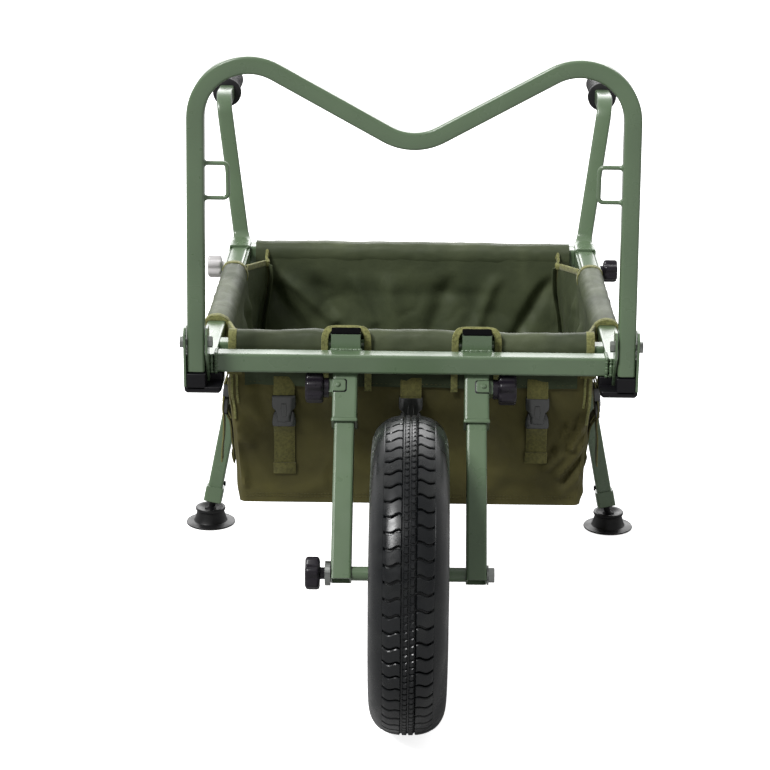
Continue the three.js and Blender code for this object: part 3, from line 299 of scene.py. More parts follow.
@dataclass(frozen=True)
class Webbing(Finish):
    """Woven strap or tape: cross ribs, mottled yarn and a row of stitches near each edge."""

    dark: str
    rib_mm: float = 1.3
    mottle: float = 0.5
    stitch_in_mm: float = 2.0
    yarn_share: float = 1.6
    mottle_mm: float = 3.5
    sway_mm: float = 20
    thread_mm: float = 0.45
    stitch_pitch_mm: float = 3.2
    stitch_share: float = 0.68
    depths_mm: Point = (0.4, 0.25, 0.35)

    def nodes(self, tree: Tree) -> dict[str, object]:
        """Mottled yarn with painted shade between the ribs, with stitches along the edge, over a gentle sway.
        """
        coord = tree.add("TexCoord").outputs
        ribs, yarn = (
            tree.add("TexWave", {"Vector": coord["UV"], "Scale": bands(pitch)}, bands_direction=way,
                     wave_profile="SIN").outputs["Fac"]
            for pitch, way in ((self.rib_mm, "Y"), (self.rib_mm * self.yarn_share, "X")))
        mottle, sway = (
            tree.add("TexNoise", {"Vector": coord["Object"], "Scale": per(size), "Detail": 3,
                                  "Distortion": distortion}).outputs["Fac"]
            for size, distortion in ((self.mottle_mm, 0.5), (self.sway_mm, 0.0)))
        mottle = tree.add("MapRange", {0: mottle, 1: 0.4, 2: 0.62, 4: self.mottle}).outputs[0]
        yarn = tree.add("MapRange", {0: yarn, 3: 0.6}).outputs[0]
        # painted shade: the ribs' waves darken the colour towards a darker tone, standing in for shade
        # between the ribs
        painted_weave_shade = tree.add("Math", {0: ribs, 1: 0.3}, operation="MULTIPLY").outputs[0]
        weave = tree.add("Math", {0: ribs, 1: yarn}, operation="MULTIPLY").outputs[0]
        across, along = tree.add("SeparateXYZ", {0: coord["UV"]}).outputs[:2]
        line = (("SUBTRACT", self.stitch_in_mm * MM), ("ABSOLUTE", 0), ("LESS_THAN", self.thread_mm * MM))
        beat = (("MULTIPLY", per(self.stitch_pitch_mm)), ("FRACT", 0), ("LESS_THAN", self.stitch_share))
        marks = []
        for value, steps in ((across, line), (along, beat)):
            for operation, by in steps:
                value = tree.add("Math", {0: value, 1: by}, operation=operation).outputs[0]
            marks.append(value)
        stitch = tree.add("Math", dict(enumerate(marks)), operation="MULTIPLY").outputs[0]
        colour = srgb(self.colour)
        for share, over in ((mottle, srgb(self.dark)), (painted_weave_shade, shade(self.dark, 0.8)),
                            (stitch, shade(self.colour, 1.25))):
            colour = tree.add("Mix", {0: share, 6: colour, 7: over}, data_type="RGBA").outputs[2]
        under = {}
        for height, depth_mm, strength in zip((sway, weave, stitch), self.depths_mm, (0.4, 0.7, 0.8)):
            relief = {"Height": height, "Distance": depth_mm * MM, "Strength": strength, **under}
            under = {"Normal": tree.add("Bump", relief).outputs[0]}
        return {"Base Color": colour, "Roughness": 0.8, **under, "Sheen Weight": 0.2}


@dataclass(frozen=True)
class Card(Finish):
    """The studio's matt white card: it glows to the camera and throws little light onto the trolley."""

    glow: float = 0.82
    bounce: float = 0.38

    def nodes(self, tree: Tree) -> dict[str, object]:
        """White and glowing where the camera sees it, grey to every other ray."""
        seen = tree.add("LightPath").outputs["Is Camera Ray"]
        grey = (self.bounce, self.bounce, self.bounce, 1)
        colour = tree.add("Mix", {0: seen, 6: grey, 7: srgb(self.colour)}, data_type="RGBA").outputs[2]
        glow = tree.add("Math", {0: seen, 1: self.glow}, operation="MULTIPLY").outputs[0]
        return {"Base Color": colour, "Roughness": 1.0, "Specular IOR Level": 0.0,
                "Emission Color": srgb(self.colour), "Emission Strength": glow}


class Look(Enum):
    """The finishes, each with the record's slot that it belongs to."""

    # polyester powder coat on steel tube: satin green, bright only where light grazes it
    PAINT = (PowderCoat("paint_green", "62775A", 0.3), "frame_paint")
    # zinc plate, passivated: pale grey metal with dull patches
    ZINC = (Metal("passivated_zinc", "A3A6A2", 0.3), "zinc_plate")
    # powder coat on pressed steel: grey, a little rougher than the frame's
    RIM = (PowderCoat("rim_paint", "8B8F8C", 0.4), "rim_metal")
    # glass-filled nylon, moulded: near black with a violet cast and soft highlights on the lobes
    KNOB = (Moulded("knob_nylon", "1E1A21", 0.3, gloss=0.45), "black_plastic")
    # the same knob coloured off-white: a painted highlight, the glare of a knob that catches the light
    KNOB_PAINTED_GLARE = (Moulded("knob_painted_glare", "C9C6C6", 0.3), "black_plastic")
    # moulded nylon: deep black, so that little but its chamfers shows
    BLOCK = (Moulded("corner_nylon", "0F0E12", 0.42, gloss=0.3), "black_plastic")
    # moulded polyethylene end cap: quite matt, with no highlight
    PLUG = (Moulded("end_cap_matt", "101011", 0.9, gloss=0.0), "black_plastic")
    # acetal, moulded and slick: dark grey with sharp light edges
    BUCKLE = (Moulded("buckle_acetal", "333533", 0.18, gloss=1.0), "buckle_plastic")
    # moulded rubber sleeve: a coarse grain that holds some dust
    GRIP = (Moulded("ribbed_grip_rubber", "201F22", 0.5, 1.2, 0.12, 0.12, 0.4), "grip_rubber")
    # moulded rubber: smooth and dark, with a trace of mud dust
    FOOT = (Moulded("mud_foot_rubber", "131314", 0.4, 0.8, 0.05, 0.02, 0.4), "foot_rubber")
    # vulcanised tyre rubber: fine grain with a shine along the blocks' edges
    TYRE = (Moulded("tyre_rubber", "121416", 0.3, 0.9, 0.05, 0.05, 0.46), "tyre")
    # butyl rubber: plain matt black
    TUBE = (Moulded("inner_tube_rubber", "1C1C1D", 0.6), "inner_tube")
    # coated polyester canvas, plain woven: khaki in soft patches, lightly crumpled
    KHAKI = (Cloth("bag_khaki", "615C2C", "4A4620", 0.78, 0.7, 1.0, 0.05), "bag_cloth")
    # the canvas's coated face: greener and smoother, so that its folds catch the light
    LINING = (Cloth("bag_lining", "5A6246", "3C4430", 0.52, 0.6, 1.8, 0.02, 0.3), "hem_cloth")
    # thinner coated cloth: a dull dark green
    FLAP = (Cloth("flap_cloth", "47523A", "39422E", 0.7, 0.7, 0.8, 0.04, 0.25), "hem_cloth")
    # woven polyester webbing: cross ribs and a stitched line near the edge
    WEBBING = (Webbing("strap_webbing", "77743C", "4B4820"), "bag_cloth")
    # narrow woven binding: lighter, with mottled yarn
    TAPE = (Webbing("binding_tape", "95965A", "646436", 1.0, 0.8, 1.6), "bag_cloth")
    # twisted polyester sewing thread: darker than the webbing
    THREAD = (Moulded("sewing_thread", "5A5630", 0.7, 0.4, 0.02), "bag_cloth")

    @property
    def slot(self) -> str:
        """The record's material slot."""
        return self.value[1]

    def material(self) -> bpy.types.Material:
        """Return the built material, made on first use."""
        return bpy.data.materials.get(self.value[0].name) or self.value[0].build()


# Mesh making


@dataclass
class Shape:
    """A mesh in the making, in millimetres: points, faces, each face's look and a UV pair for each corner."""

    points: list[Vector] = field(default_factory=list)
    faces: list[tuple[int, ...]] = field(default_factory=list)
    looks: list[int] = field(default_factory=list)
    uvs: list[tuple[Flat, ...]] = field(default_factory=list)

    def add(self, other: "Shape") -> "Shape":
        """Take in another shape and return self."""
        start = len(self.points)
        self.points += other.points
        self.faces += [tuple(i + start for i in face) for face in other.faces]
        self.looks += other.looks
        self.uvs += other.uvs
        return self

    def moved(self, matrix: Matrix) -> "Shape":
        """Return a copy moved by a matrix in millimetres."""
        return Shape([matrix @ p for p in self.points], list(self.faces), list(self.looks), list(self.uvs))

    def looking(self, look: int) -> "Shape":
        """Give every face one look index and return self."""
        self.looks = [look] * len(self.faces)
        return self


def loft(rings: Sequence[Sequence[Vector]], caps: tuple[bool, bool] = (True, True)) -> Shape:
    """Skin rings of points, with UVs in metres along and around the skin.

    Args:
        rings: Closed rings of equal length.
        caps: Whether the first and last ring are closed by a flat face.

    Returns:
        The shape.
    """
    shape = Shape()
    count = len(rings[0])
    for ring in rings:
        shape.points += list(ring)
    middle = rings[len(rings) // 2]
    around, along = [0.0], [0.0]
    for i in range(count):
        around.append(around[-1] + (middle[(i + 1) % count] - middle[i]).length * MM)
    for a, b in zip(rings, rings[1:]):
        along.append(along[-1] + (b[0] - a[0]).length * MM)
    for r in range(len(rings) - 1):
        for i in range(count):
            j = (i + 1) % count
            shape.faces.append((r * count + i, r * count + j, (r + 1) * count + j, (r + 1) * count + i))
            (u0, u1), (v0, v1) = around[i:i + 2], along[r:r + 2]
            shape.uvs.append(((u0, v0), (u1, v0), (u1, v1), (u0, v1)))
    last = (len(rings) - 1) * count
    for wanted, face in zip(caps, (tuple(range(count))[::-1], tuple(range(last, last + count)))):
        if wanted:
            shape.faces.append(face)
            shape.uvs.append(tuple((shape.points[k].x * MM, shape.points[k].y * MM) for k in face))
    shape.looks = [0] * len(shape.faces)
    return shape


def squircle(size: float, corner: float, steps: int = 4, height: Optional[float] = None) -> list[Flat]:
    """Outline of a rectangle with rounded corners.

    Args:
        size: Width, and height unless that is given.
        corner: Corner radius.
        steps: Steps in each corner.
        height: Height if it differs.

    Returns:
        Points round the middle.
    """
    wide, high = size / 2 - corner, (height or size) / 2 - corner
    points = []
    for quarter, (sx, sy) in enumerate(((1, 1), (-1, 1), (-1, -1), (1, -1))):
        for i in range(steps + 1):
            angle = (quarter + i / steps) * math.pi / 2
            points.append((sx * wide + corner * math.cos(angle), sy * high + corner * math.sin(angle)))
    return points


def circle(radius: float, steps: int) -> list[Flat]:
    """Outline of a circle."""
    angles = [2 * math.pi * i / steps for i in range(steps)]
    return [(radius * math.cos(angle), radius * math.sin(angle)) for angle in angles]


def smoothstep(value: float, low: float, high: float) -> float:
    """Ease from 0 at low to 1 at high."""
    share = min(max((value - low) / (high - low), 0), 1)
    return share * share * (3 - 2 * share)


@dataclass
class Station:
    """A place on a bent tube: its middle and the two axes of its section."""

    at: Vector
    across: Vector
    up: Vector

    def ring(self, outline: Outline) -> list[Vector]:
        """Return an outline's points at this place."""
        return [self.at + self.across * a + self.up * b for a, b in outline]


def bent_path(corners: Sequence[Point], radii: Sequence[float], side: Point,
              steps: int = 16) -> list[Station]:
    """Stations along straight runs joined by bends, carried along without twist.

    Args:
        corners: Ends and bend corners of the middle line.
        radii: One radius for each bend.
        side: Direction of the section's first axis at the start.
        steps: Steps in each bend.

    Returns:
        The stations.
    """
    points = [Vector(c) for c in corners]
    heading = (points[1] - points[0]).normalized()
    across = Vector(side)
    across = (across - heading * across.dot(heading)).normalized()
    path = [Station(points[0], across, heading.cross(across))]
    for corner, after, radius in zip(points[1:], points[2:], radii):
        following = (after - corner).normalized()
        turn = heading.angle(following)
        axis = heading.cross(following).normalized()
        start = corner - heading * radius * math.tan(turn / 2)
        centre = start + axis.cross(heading) * radius
        arm, first, first_across = start - centre, heading.copy(), across.copy()
        for k in range(steps + 1):
            spin = Quaternion(axis, turn * k / steps)
            heading, across = spin @ first, spin @ first_across
            path.append(Station(centre + spin @ arm, across, heading.cross(across)))
    path.append(Station(points[-1], across, heading.cross(across)))
    return path


def tube(path: Sequence[Station], outline: Outline) -> Shape:
    """A capped tube of one section along stations."""
    return loft([station.ring(outline) for station in path])


def turned(profile: Outline, steps: int = 48) -> Shape:
    """Turn (radius, height) points round Z into a closed skin."""
    return loft([[Vector((r * c, r * s, h)) for c, s in circle(1, steps)] for r, h in profile])


def round_axle(section: Outline, steps: int, axle: Point) -> Shape:
    """Turn a closed (x, radius) section round an axle along X."""
    rings = []
    for k in range(steps):
        angle = 2 * math.pi * k / steps
        rings.append([Vector((x, r * math.sin(angle), r * math.cos(angle))) for x, r in section])
    return loft(rings + [rings[0]], (False, False)).moved(Matrix.Translation(axle))


def along_x(sign: int) -> Matrix:
    """Turn +Z to point along sign times X."""
    return Matrix.Rotation(sign * math.pi / 2, 4, "Y")


def ribbon(points: Sequence[Point], normals: Sequence[Point], width: float, thick: float,
           fine: int = 4) -> Shape:
    """A flat strap along a smooth line.

    Args:
        points: The line that the strap's middle follows.
        normals: Which way its face looks at each point.
        width: Strap width.
        thick: Strap thickness.
        fine: Steps between two points.

    Returns:
        The shape, with u across the strap and v along it.
    """
    line, facing = smooth_line(points, fine), smooth_line(normals, fine)
    rings = []
    for i, at in enumerate(line):
        ahead = (line[min(i + 1, len(line) - 1)] - line[max(i - 1, 0)]).normalized()
        out = (facing[i] - ahead * facing[i].dot(ahead)).normalized()
        across = ahead.cross(out)
        half, edge = width / 2, thick * SELVEDGE_SHARE
        section = [(-half, 0), (-half, thick - edge), (-half + edge, thick), (half - edge, thick),
                   (half, thick - edge), (half, 0)]
        rings.append([at + across * a + out * b for a, b in section])
    return loft(rings)


def catmull(a: Vector, b: Vector, c: Vector, d: Vector, t: float) -> Vector:
    """A point of the Catmull-Rom curve between b, at t 0, and c, at t 1."""
    square, cube = 2 * a - 5 * b + 4 * c - d, 3 * b - a - 3 * c + d
    return 0.5 * (2 * b + (c - a) * t + square * t * t + cube * t ** 3)


def smooth_line(points: Sequence[Point], fine: int) -> list[Vector]:
    """Put a smooth curve through points, with so many steps between two."""
    ends = [Vector(p) for p in points]
    ends = [ends[0] * 2 - ends[1], *ends, ends[-1] * 2 - ends[-2]]
    line = [catmull(*four, k / fine) for four in zip(ends, ends[1:], ends[2:], ends[3:]) for k in range(fine)]
    return line + [ends[-2]]


def closed_curve(points: Outline, fine: int) -> list[Flat]:
    """Put a smooth curve through a closed ring of flat points."""
    count = len(points)
    fours = [[Vector(points[(i + k) % count]) for k in (-1, 0, 1, 2)] for i in range(count)]
    return [tuple(catmull(*four, k / fine)) for four in fours for k in range(fine)]


def build(name: str, shape: Shape, looks: Sequence[Look], body: str, replaces: Sequence[str] = (),
          smooth_deg: float = 38) -> bpy.types.Object:
    """Make an object from a shape and hang it on a CAD body.

    Args:
        name: Piece name.
        shape: The shape in millimetres.
        looks: A look for each look index.
        body: CAD body that it rides on.
        replaces: CAD nodes that it stands for.
        smooth_deg: Edges sharper than this stay sharp.

    Returns:
        The object.
    """
    mesh = bpy.data.meshes.new(name)
    mesh.from_pydata([tuple(p * MM) for p in shape.points], [], shape.faces)
    layer = mesh.uv_layers.new(name="UVMap")
    for polygon, corner_uvs, look in zip(mesh.polygons, shape.uvs, shape.looks):
        polygon.material_index = look
        for loop, pair in zip(polygon.loop_indices, corner_uvs):
            layer.data[loop].uv = pair
    for look in looks:
        mesh.materials.append(look.material())
    made = bpy.data.objects.new(name, mesh)
    bpy.context.scene.collection.objects.link(made)
    tidy_mesh(mesh, smooth_deg)
    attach(made, body)
    if replaces:
        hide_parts(*replaces)
    LOG.info("%s: %d faces on %s", name, len(mesh.polygons), body)
    return made


def tidy_mesh(mesh: bpy.types.Mesh, smooth_deg: float) -> None:
    """Weld doubled points, turn faces outwards and set which edges stay sharp."""
    work = bmesh.new()
    work.from_mesh(mesh)
    bmesh.ops.remove_doubles(work, verts=work.verts, dist=WELD_MM * MM)
    bmesh.ops.recalc_face_normals(work, faces=work.faces)
    work.to_mesh(mesh)
    work.free()
    mesh.shade_smooth()
    mesh.set_sharp_from_angle(angle=math.radians(smooth_deg))


class CopyTree(Tree):
    """A Geometry Nodes tree that lays copies of a shape and ends in Realize Instances and Set Material."""

    def __init__(self, name: str, **inputs: str) -> None:
        """Start a tree with named inputs, each given as its socket kind."""
        super().__init__(bpy.data.node_groups.new(name, "GeometryNodeTree"))
        for label, kind in {"Geometry": "Geometry", **inputs, "Material": "Material"}.items():
            self.data.interface.new_socket(label, in_out="INPUT", socket_type="NodeSocket" + kind)
        self.data.interface.new_socket("Geometry", in_out="OUTPUT", socket_type="NodeSocketGeometry")
        self.source = self.add("NodeGroupInput").outputs

    def close(self, copies: bpy.types.Node) -> None:
        """End the tree: the copies made real and given their material."""
        whole = self.add("GeometryNodeRealizeInstances", {"Geometry": copies.outputs[0]})
        painted = self.add("GeometryNodeSetMaterial", {"Geometry": whole.outputs[0],
                                                       "Material": self.source["Material"]})
        self.add("NodeGroupOutput", {"Geometry": painted.outputs[0]})

    def run(self, carrier: bpy.types.Object, **values: object) -> Shape:
        """Run the tree on an object.

        Args:
            carrier: The object that the tree starts from, in millimetres.
            values: A value for each of its inputs.

        Returns:
            All the copies as one shape.
        """
        modifier = carrier.modifiers.new("copies", "NODES")
        modifier.node_group = self.data
        sockets = {s.name: s.identifier for s in self.data.interface.items_tree if s.in_out == "INPUT"}
        for key, value in values.items():
            modifier[sockets[key]] = value
        graph = bpy.context.evaluated_depsgraph_get()
        plain = bpy.data.meshes.new_from_object(carrier.evaluated_get(graph))
        made = Shape([v.co.copy() for v in plain.vertices], [tuple(p.vertices) for p in plain.polygons])
        made.uvs = [tuple((0.0, 0.0) for _ in face) for face in made.faces]
        return made.looking(0)


def scratch_object(name: str, points: Sequence[Vector],
                   faces: Sequence[tuple[int, ...]] = ()) -> bpy.types.Object:
    """Make an object in millimetres for a tree to work on."""
    mesh = bpy.data.meshes.new(name)
    mesh.from_pydata([tuple(p) for p in points], [], list(faces))
    made = bpy.data.objects.new(name, mesh)
    bpy.context.scene.collection.objects.link(made)
    return made


def ring_of_copies(name: str, unit: Shape, count: int, look: Look, centre: Point) -> Shape:
    """Repeat a shape round an axis along X.

    Args:
        name: Name of the node group.
        unit: One copy, with the axis through its origin.
        count: Number of copies.
        look: Its material.
        centre: Where the axis lies.

    Returns:
        All the copies as one shape in place.
    """
    tree = CopyTree(name, Count="Int")
    points = tree.add("GeometryNodePoints", {"Count": tree.source["Count"]})
    step = tree.add("ShaderNodeMath", {0: 2 * math.pi, 1: tree.source["Count"]}, operation="DIVIDE")
    index = tree.add("GeometryNodeInputIndex")
    angle = tree.add("ShaderNodeMath", {0: index.outputs[0], 1: step.outputs[0]}, operation="MULTIPLY")
    spin = tree.add("ShaderNodeCombineXYZ", {"X": angle.outputs[0]})
    tree.close(tree.add("GeometryNodeInstanceOnPoints", {
        "Points": points.outputs[0], "Instance": tree.source["Geometry"], "Rotation": spin.outputs[0]}))
    seed = scratch_object(name, unit.points, unit.faces)
    made = tree.run(seed, Count=count, Material=look.material())
    bpy.data.objects.remove(seed)
    return made.moved(Matrix.Translation(centre))


def scattered_copies(name: str, unit: Shape, places: Sequence[Vector], spread: float, seed: int, look: Look,
                     ways: Sequence[Vector] = ()) -> Shape:
    """Put a copy of a shape at each place, each a little different in size.

    Args:
        name: Name of the node group.
        unit: One copy round the origin.
        places: Where the copies go.
        spread: How much their size varies, as a share.
        seed: Seed of the variation.
        look: Their material.
        ways: Where each copy's Z points, or nothing to leave them upright.

    Returns:
        All the copies as one shape.
    """
    tree = CopyTree(name, Copy="Object", Spread="Float", Seed="Int")
    copy = tree.add("GeometryNodeObjectInfo", {"Object": tree.source["Copy"]})
    low, high = (tree.add("ShaderNodeMath", {0: 1.0, 1: tree.source["Spread"]}, operation=kind).outputs[0]
                 for kind in ("SUBTRACT", "ADD"))
    size = tree.add("FunctionNodeRandomValue", {"Min": low, "Max": high, "Seed": tree.source["Seed"]})
    way = tree.add("GeometryNodeInputNamedAttribute", {"Name": "way"}, data_type="FLOAT_VECTOR")
    turned_to = tree.add("FunctionNodeAlignRotationToVector", {"Vector": way.outputs["Attribute"]})
    tree.close(tree.add("GeometryNodeInstanceOnPoints", {
        "Points": tree.source["Geometry"], "Instance": copy.outputs["Geometry"],
        "Scale": size.outputs["Value"], "Rotation": turned_to.outputs[0]}))
    copied, cloud = scratch_object(f"{name}_unit", unit.points, unit.faces), scratch_object(name, places)
    layer = cloud.data.attributes.new("way", "FLOAT_VECTOR", "POINT")
    for item, direction in zip(layer.data, ways or [Vector((0, 0, 1))] * len(places)):
        item.vector = direction
    made = tree.run(cloud, Copy=copied, Spread=spread, Seed=seed, Material=look.material())
    for scratch in (copied, cloud):
        bpy.data.objects.remove(scratch)
    return made


# The trolley's sub-assemblies


@dataclass
class Wheel:
    """The tyre: a carcass with a smooth shoulder and a block tread."""

    axle: Point = (0, -400, 200)
    radius: float = 200
    half_width: float = 48.5
    widest: float = 152
    squareness: float = 2.6
    bead_x: float = 28.2
    bead_radius: float = 112.3
    bead_width: float = 5.5
    seat_radius: float = 101.3
    inside: Outline = ((42.5, 150), (31, 178), (14, 187))
    inside_foot: float = 118
    tread: float = 4.5
    middle_fill: float = 2.4
    fill_fade: Flat = (8, 11)
    tread_edge: float = 27.5
    shoulder_edge: float = 31.5
    floor_xs: tuple[float, ...] = (0, 4, 8, 9, 10, 11, 16, 22, 26, 27.5, 28.5, 29.5, 30.5, 31.5, 33)
    shoulder_steps: int = 14
    wall_steps: int = 16
    wall_ribs: tuple[int, ...] = (4, 7, 13)
    rib: float = 0.7
    round_steps: int = 186
    blocks: int = 62
    columns: int = 8
    chamfer: float = 1.1
    root: Flat = (1.5, 0.2)
    camber: Flat = (1.5, 0.3)
    wide_blocks: tuple[Point, ...] = ((-32.5, -8.6, 0.0), (9.6, 32.5, 1 / 3))
    groove: float = 3.0
    wave: Point = (2.0, 8, 20)
    small_blocks: Outline = ((-3.3, 0.2), (4.6, 0.45))
    small_half: float = 3.2
    small_groove: float = 2.1
    zigzag: float = 0.7
    chevron: Flat = (1.6, 3.4)

    def crown(self, x: float) -> float:
        """Radius of the tyre's outline at a distance from its middle plane."""
        share = 1 - (abs(x) / self.half_width) ** self.squareness
        return self.widest + (self.radius - self.widest) * share ** (1 / self.squareness)

    def floor(self, x: float) -> float:
        """Radius of the carcass: the tread's floor, a ramp at its edge and the smooth shoulder."""
        deep = 1 - smoothstep(abs(x), self.tread_edge, self.shoulder_edge)
        shallow = self.middle_fill * (1 - smoothstep(abs(x), *self.fill_fade))
        return self.crown(x) - (self.tread - shallow) * deep

    def section(self) -> list[Flat]:
        """Closed (x, radius) outline of the carcass."""
        half = [(x, self.floor(x)) for x in self.floor_xs]
        share = 2 / self.squareness
        start = math.acos((self.floor_xs[-1] / self.half_width) ** (self.squareness / 2))
        for i in range(1, self.shoulder_steps + 1):
            angle = start * (1 - i / self.shoulder_steps)
            half.append((self.half_width * math.cos(angle) ** share,
                         self.widest + (self.radius - self.widest) * math.sin(angle) ** share))
        for i in range(1, self.wall_steps + 1):
            angle = math.pi / 2 * i / self.wall_steps
            rib = self.rib if i in self.wall_ribs else 0.0
            half.append((self.bead_x + (self.half_width - self.bead_x) * math.cos(angle) + rib,
                         self.widest - (self.widest - self.bead_radius) * math.sin(angle)))
        toe = self.bead_x - self.bead_width
        half += [(self.bead_x, self.seat_radius), (toe, self.seat_radius), (toe, self.inside_foot)]
        half += self.inside
        return half + [(-x, r) for x, r in half[:0:-1]]

    def block(self, edges: Flat, span: Flat, wave: Callable[[float], float], zigzag: float = 0.0) -> Shape:
        """One tread block with wavy front and back edges and a small chamfer.

        Args:
            edges: Its ends across the tyre.
            span: Its front and back round the tyre.
            wave: Shift round the tyre at a place across it.
            zigzag: How far its sides step in at mid length.

        Returns:
            The block with the axle at its origin.
        """
        (x0, x1), (s0, s1) = edges, span
        columns, chamfer, shape = self.columns, self.chamfer, Shape()
        flat, slope = self.camber

        def at(i: int, row: float, drop: float, inset: float) -> Vector:
            """A point of the block's top or wall."""
            t = i / columns
            x = x0 + (x1 - x0) * t
            side = zigzag * (1 - abs(2 * row - 1)) * (1 if t < 0.5 else -1 if t > 0.5 else 0)
            s = s0 + (s1 - s0) * row + wave(x) + (inset if row < 0.5 else -inset if row > 0.5 else 0)
            x = x + side + (inset if i == 0 else -inset if i == columns else 0)
            r = self.crown(x) - drop - max(abs(x) - self.tread_edge - flat, 0) * slope
            return Vector((x, r * math.sin(s / self.radius), r * math.cos(s / self.radius)))

        rim = ([(i, 0.0) for i in range(columns + 1)] + [(columns, 0.5)]
               + [(i, 1.0) for i in range(columns, -1, -1)] + [(0, 0.5)])
        levels = ((self.tread + self.root[0], -self.root[1]), (chamfer, 0.0), (0.0, chamfer))
        walls = [[at(i, row, drop, inset) for i, row in rim] for drop, inset in levels]
        shape.add(loft(walls, (False, False)))
        for i in range(columns):
            for low in (0.0, 0.5):
                start = len(shape.points)
                corners = ((i, low), (i + 1, low), (i + 1, low + 0.5), (i, low + 0.5))
                shape.points += [at(column, row, 0, chamfer) for column, row in corners]
                shape.faces.append((start, start + 1, start + 2, start + 3))
        return shape

    def unit(self) -> Shape:
        """The blocks of one pitch: a wide one on each side and two pairs of small ones between."""
        pitch = 2 * math.pi * self.radius / self.blocks
        shape = Shape()

        def sway(x: float) -> float:
            """Gentle S across a wide block."""
            height, start, length = self.wave
            return height * math.sin((abs(x) - start) / length * 2 * math.pi)

        for near, far, share in self.wide_blocks:
            front = pitch * share
            shape.add(self.block((near, far), (front, front + pitch - self.groove), sway))
        half = pitch / 2
        for centre, share in self.small_blocks:
            def bend(x: float, middle: float = centre) -> float:
                """Bend of a small block's edges."""
                return self.chevron[0] * abs(x - middle) / self.chevron[1]

            edges = (centre - self.small_half, centre + self.small_half)
            for front in (share * half, (share + 1) * half):
                shape.add(self.block(edges, (front, front + half - self.small_groove), bend, self.zigzag))
        return shape.looking(0)

    def dress(self) -> None:
        """Build the tyre and lay the tread round it."""
        tyre = round_axle(self.section(), self.round_steps, self.axle)
        tyre.add(ring_of_copies("tread_blocks", self.unit(), self.blocks, Look.TYRE, self.axle))
        build("tyre_treaded", tyre, [Look.TYRE], "wheel", ["tyre"], 32)


@dataclass
class LuggageBar:
    """The M-shaped bar that folds back over the load, with a wire loop on the inside of each leg."""

    size: float = 22
    corner: float = 3.5
    y: float = -278
    foot: Flat = (274.5, 428)
    shoulder: Flat = (268, 865.5)
    valley: float = 718.8
    radii: tuple[float, float, float] = (67, 70, 67)
    wire: float = 5.5
    loop: Flat = (653, 697)
    loop_reach: float = 29
    loop_bend: float = 6
    loop_sunk: float = 8
    fillet: Outline = ((0, -1), (5.4, -1), (5.2, 0.4), (3.9, 1.2), (3.1, 2.6), (2.8, 4.2), (0, 4.2))

    def leg_x(self, height: float) -> float:
        """Middle of the leg at a height."""
        share = (height - self.foot[1]) / (self.shoulder[1] - self.foot[1])
        return self.foot[0] + (self.shoulder[0] - self.foot[0]) * share

    def bar(self) -> Shape:
        """The bent square tube."""
        half = [self.foot, self.shoulder]
        outline = [(-x, z) for x, z in half] + [(0, self.valley)] + half[::-1]
        corners = [(x, self.y, z) for x, z in outline]
        return tube(bent_path(corners, self.radii, (0, 1, 0), 24), squircle(self.size, self.corner))

    def loops(self) -> Shape:
        """The two wire loops and the weld fillets at their roots."""
        shape = Shape()
        low, high = self.loop
        for sign in SIDES.values():
            tip = sign * (self.leg_x(sum(self.loop) / 2) - self.size / 2 - self.loop_reach)
            roots = [sign * (self.leg_x(height) - self.loop_sunk) for height in (high, low)]
            ends = [(x, self.y, z) for x, z in ((roots[0], high), (tip, high), (tip, low), (roots[1], low))]
            shape.add(tube(bent_path(ends, (self.loop_bend,) * 2, (0, 1, 0), 8), circle(self.wire / 2, 14)))
            for height in self.loop:
                face = Vector((sign * (self.leg_x(height) - self.size / 2), self.y, height))
                shape.add(turned(self.fillet, 20).moved(Matrix.Translation(face) @ along_x(-sign)))
        return shape

    def dress(self) -> None:
        """Build the bar with its loops."""
        build("luggage_bar_bent", self.bar().add(self.loops()), [Look.PAINT], "luggage_bar", ["luggage_bar"])


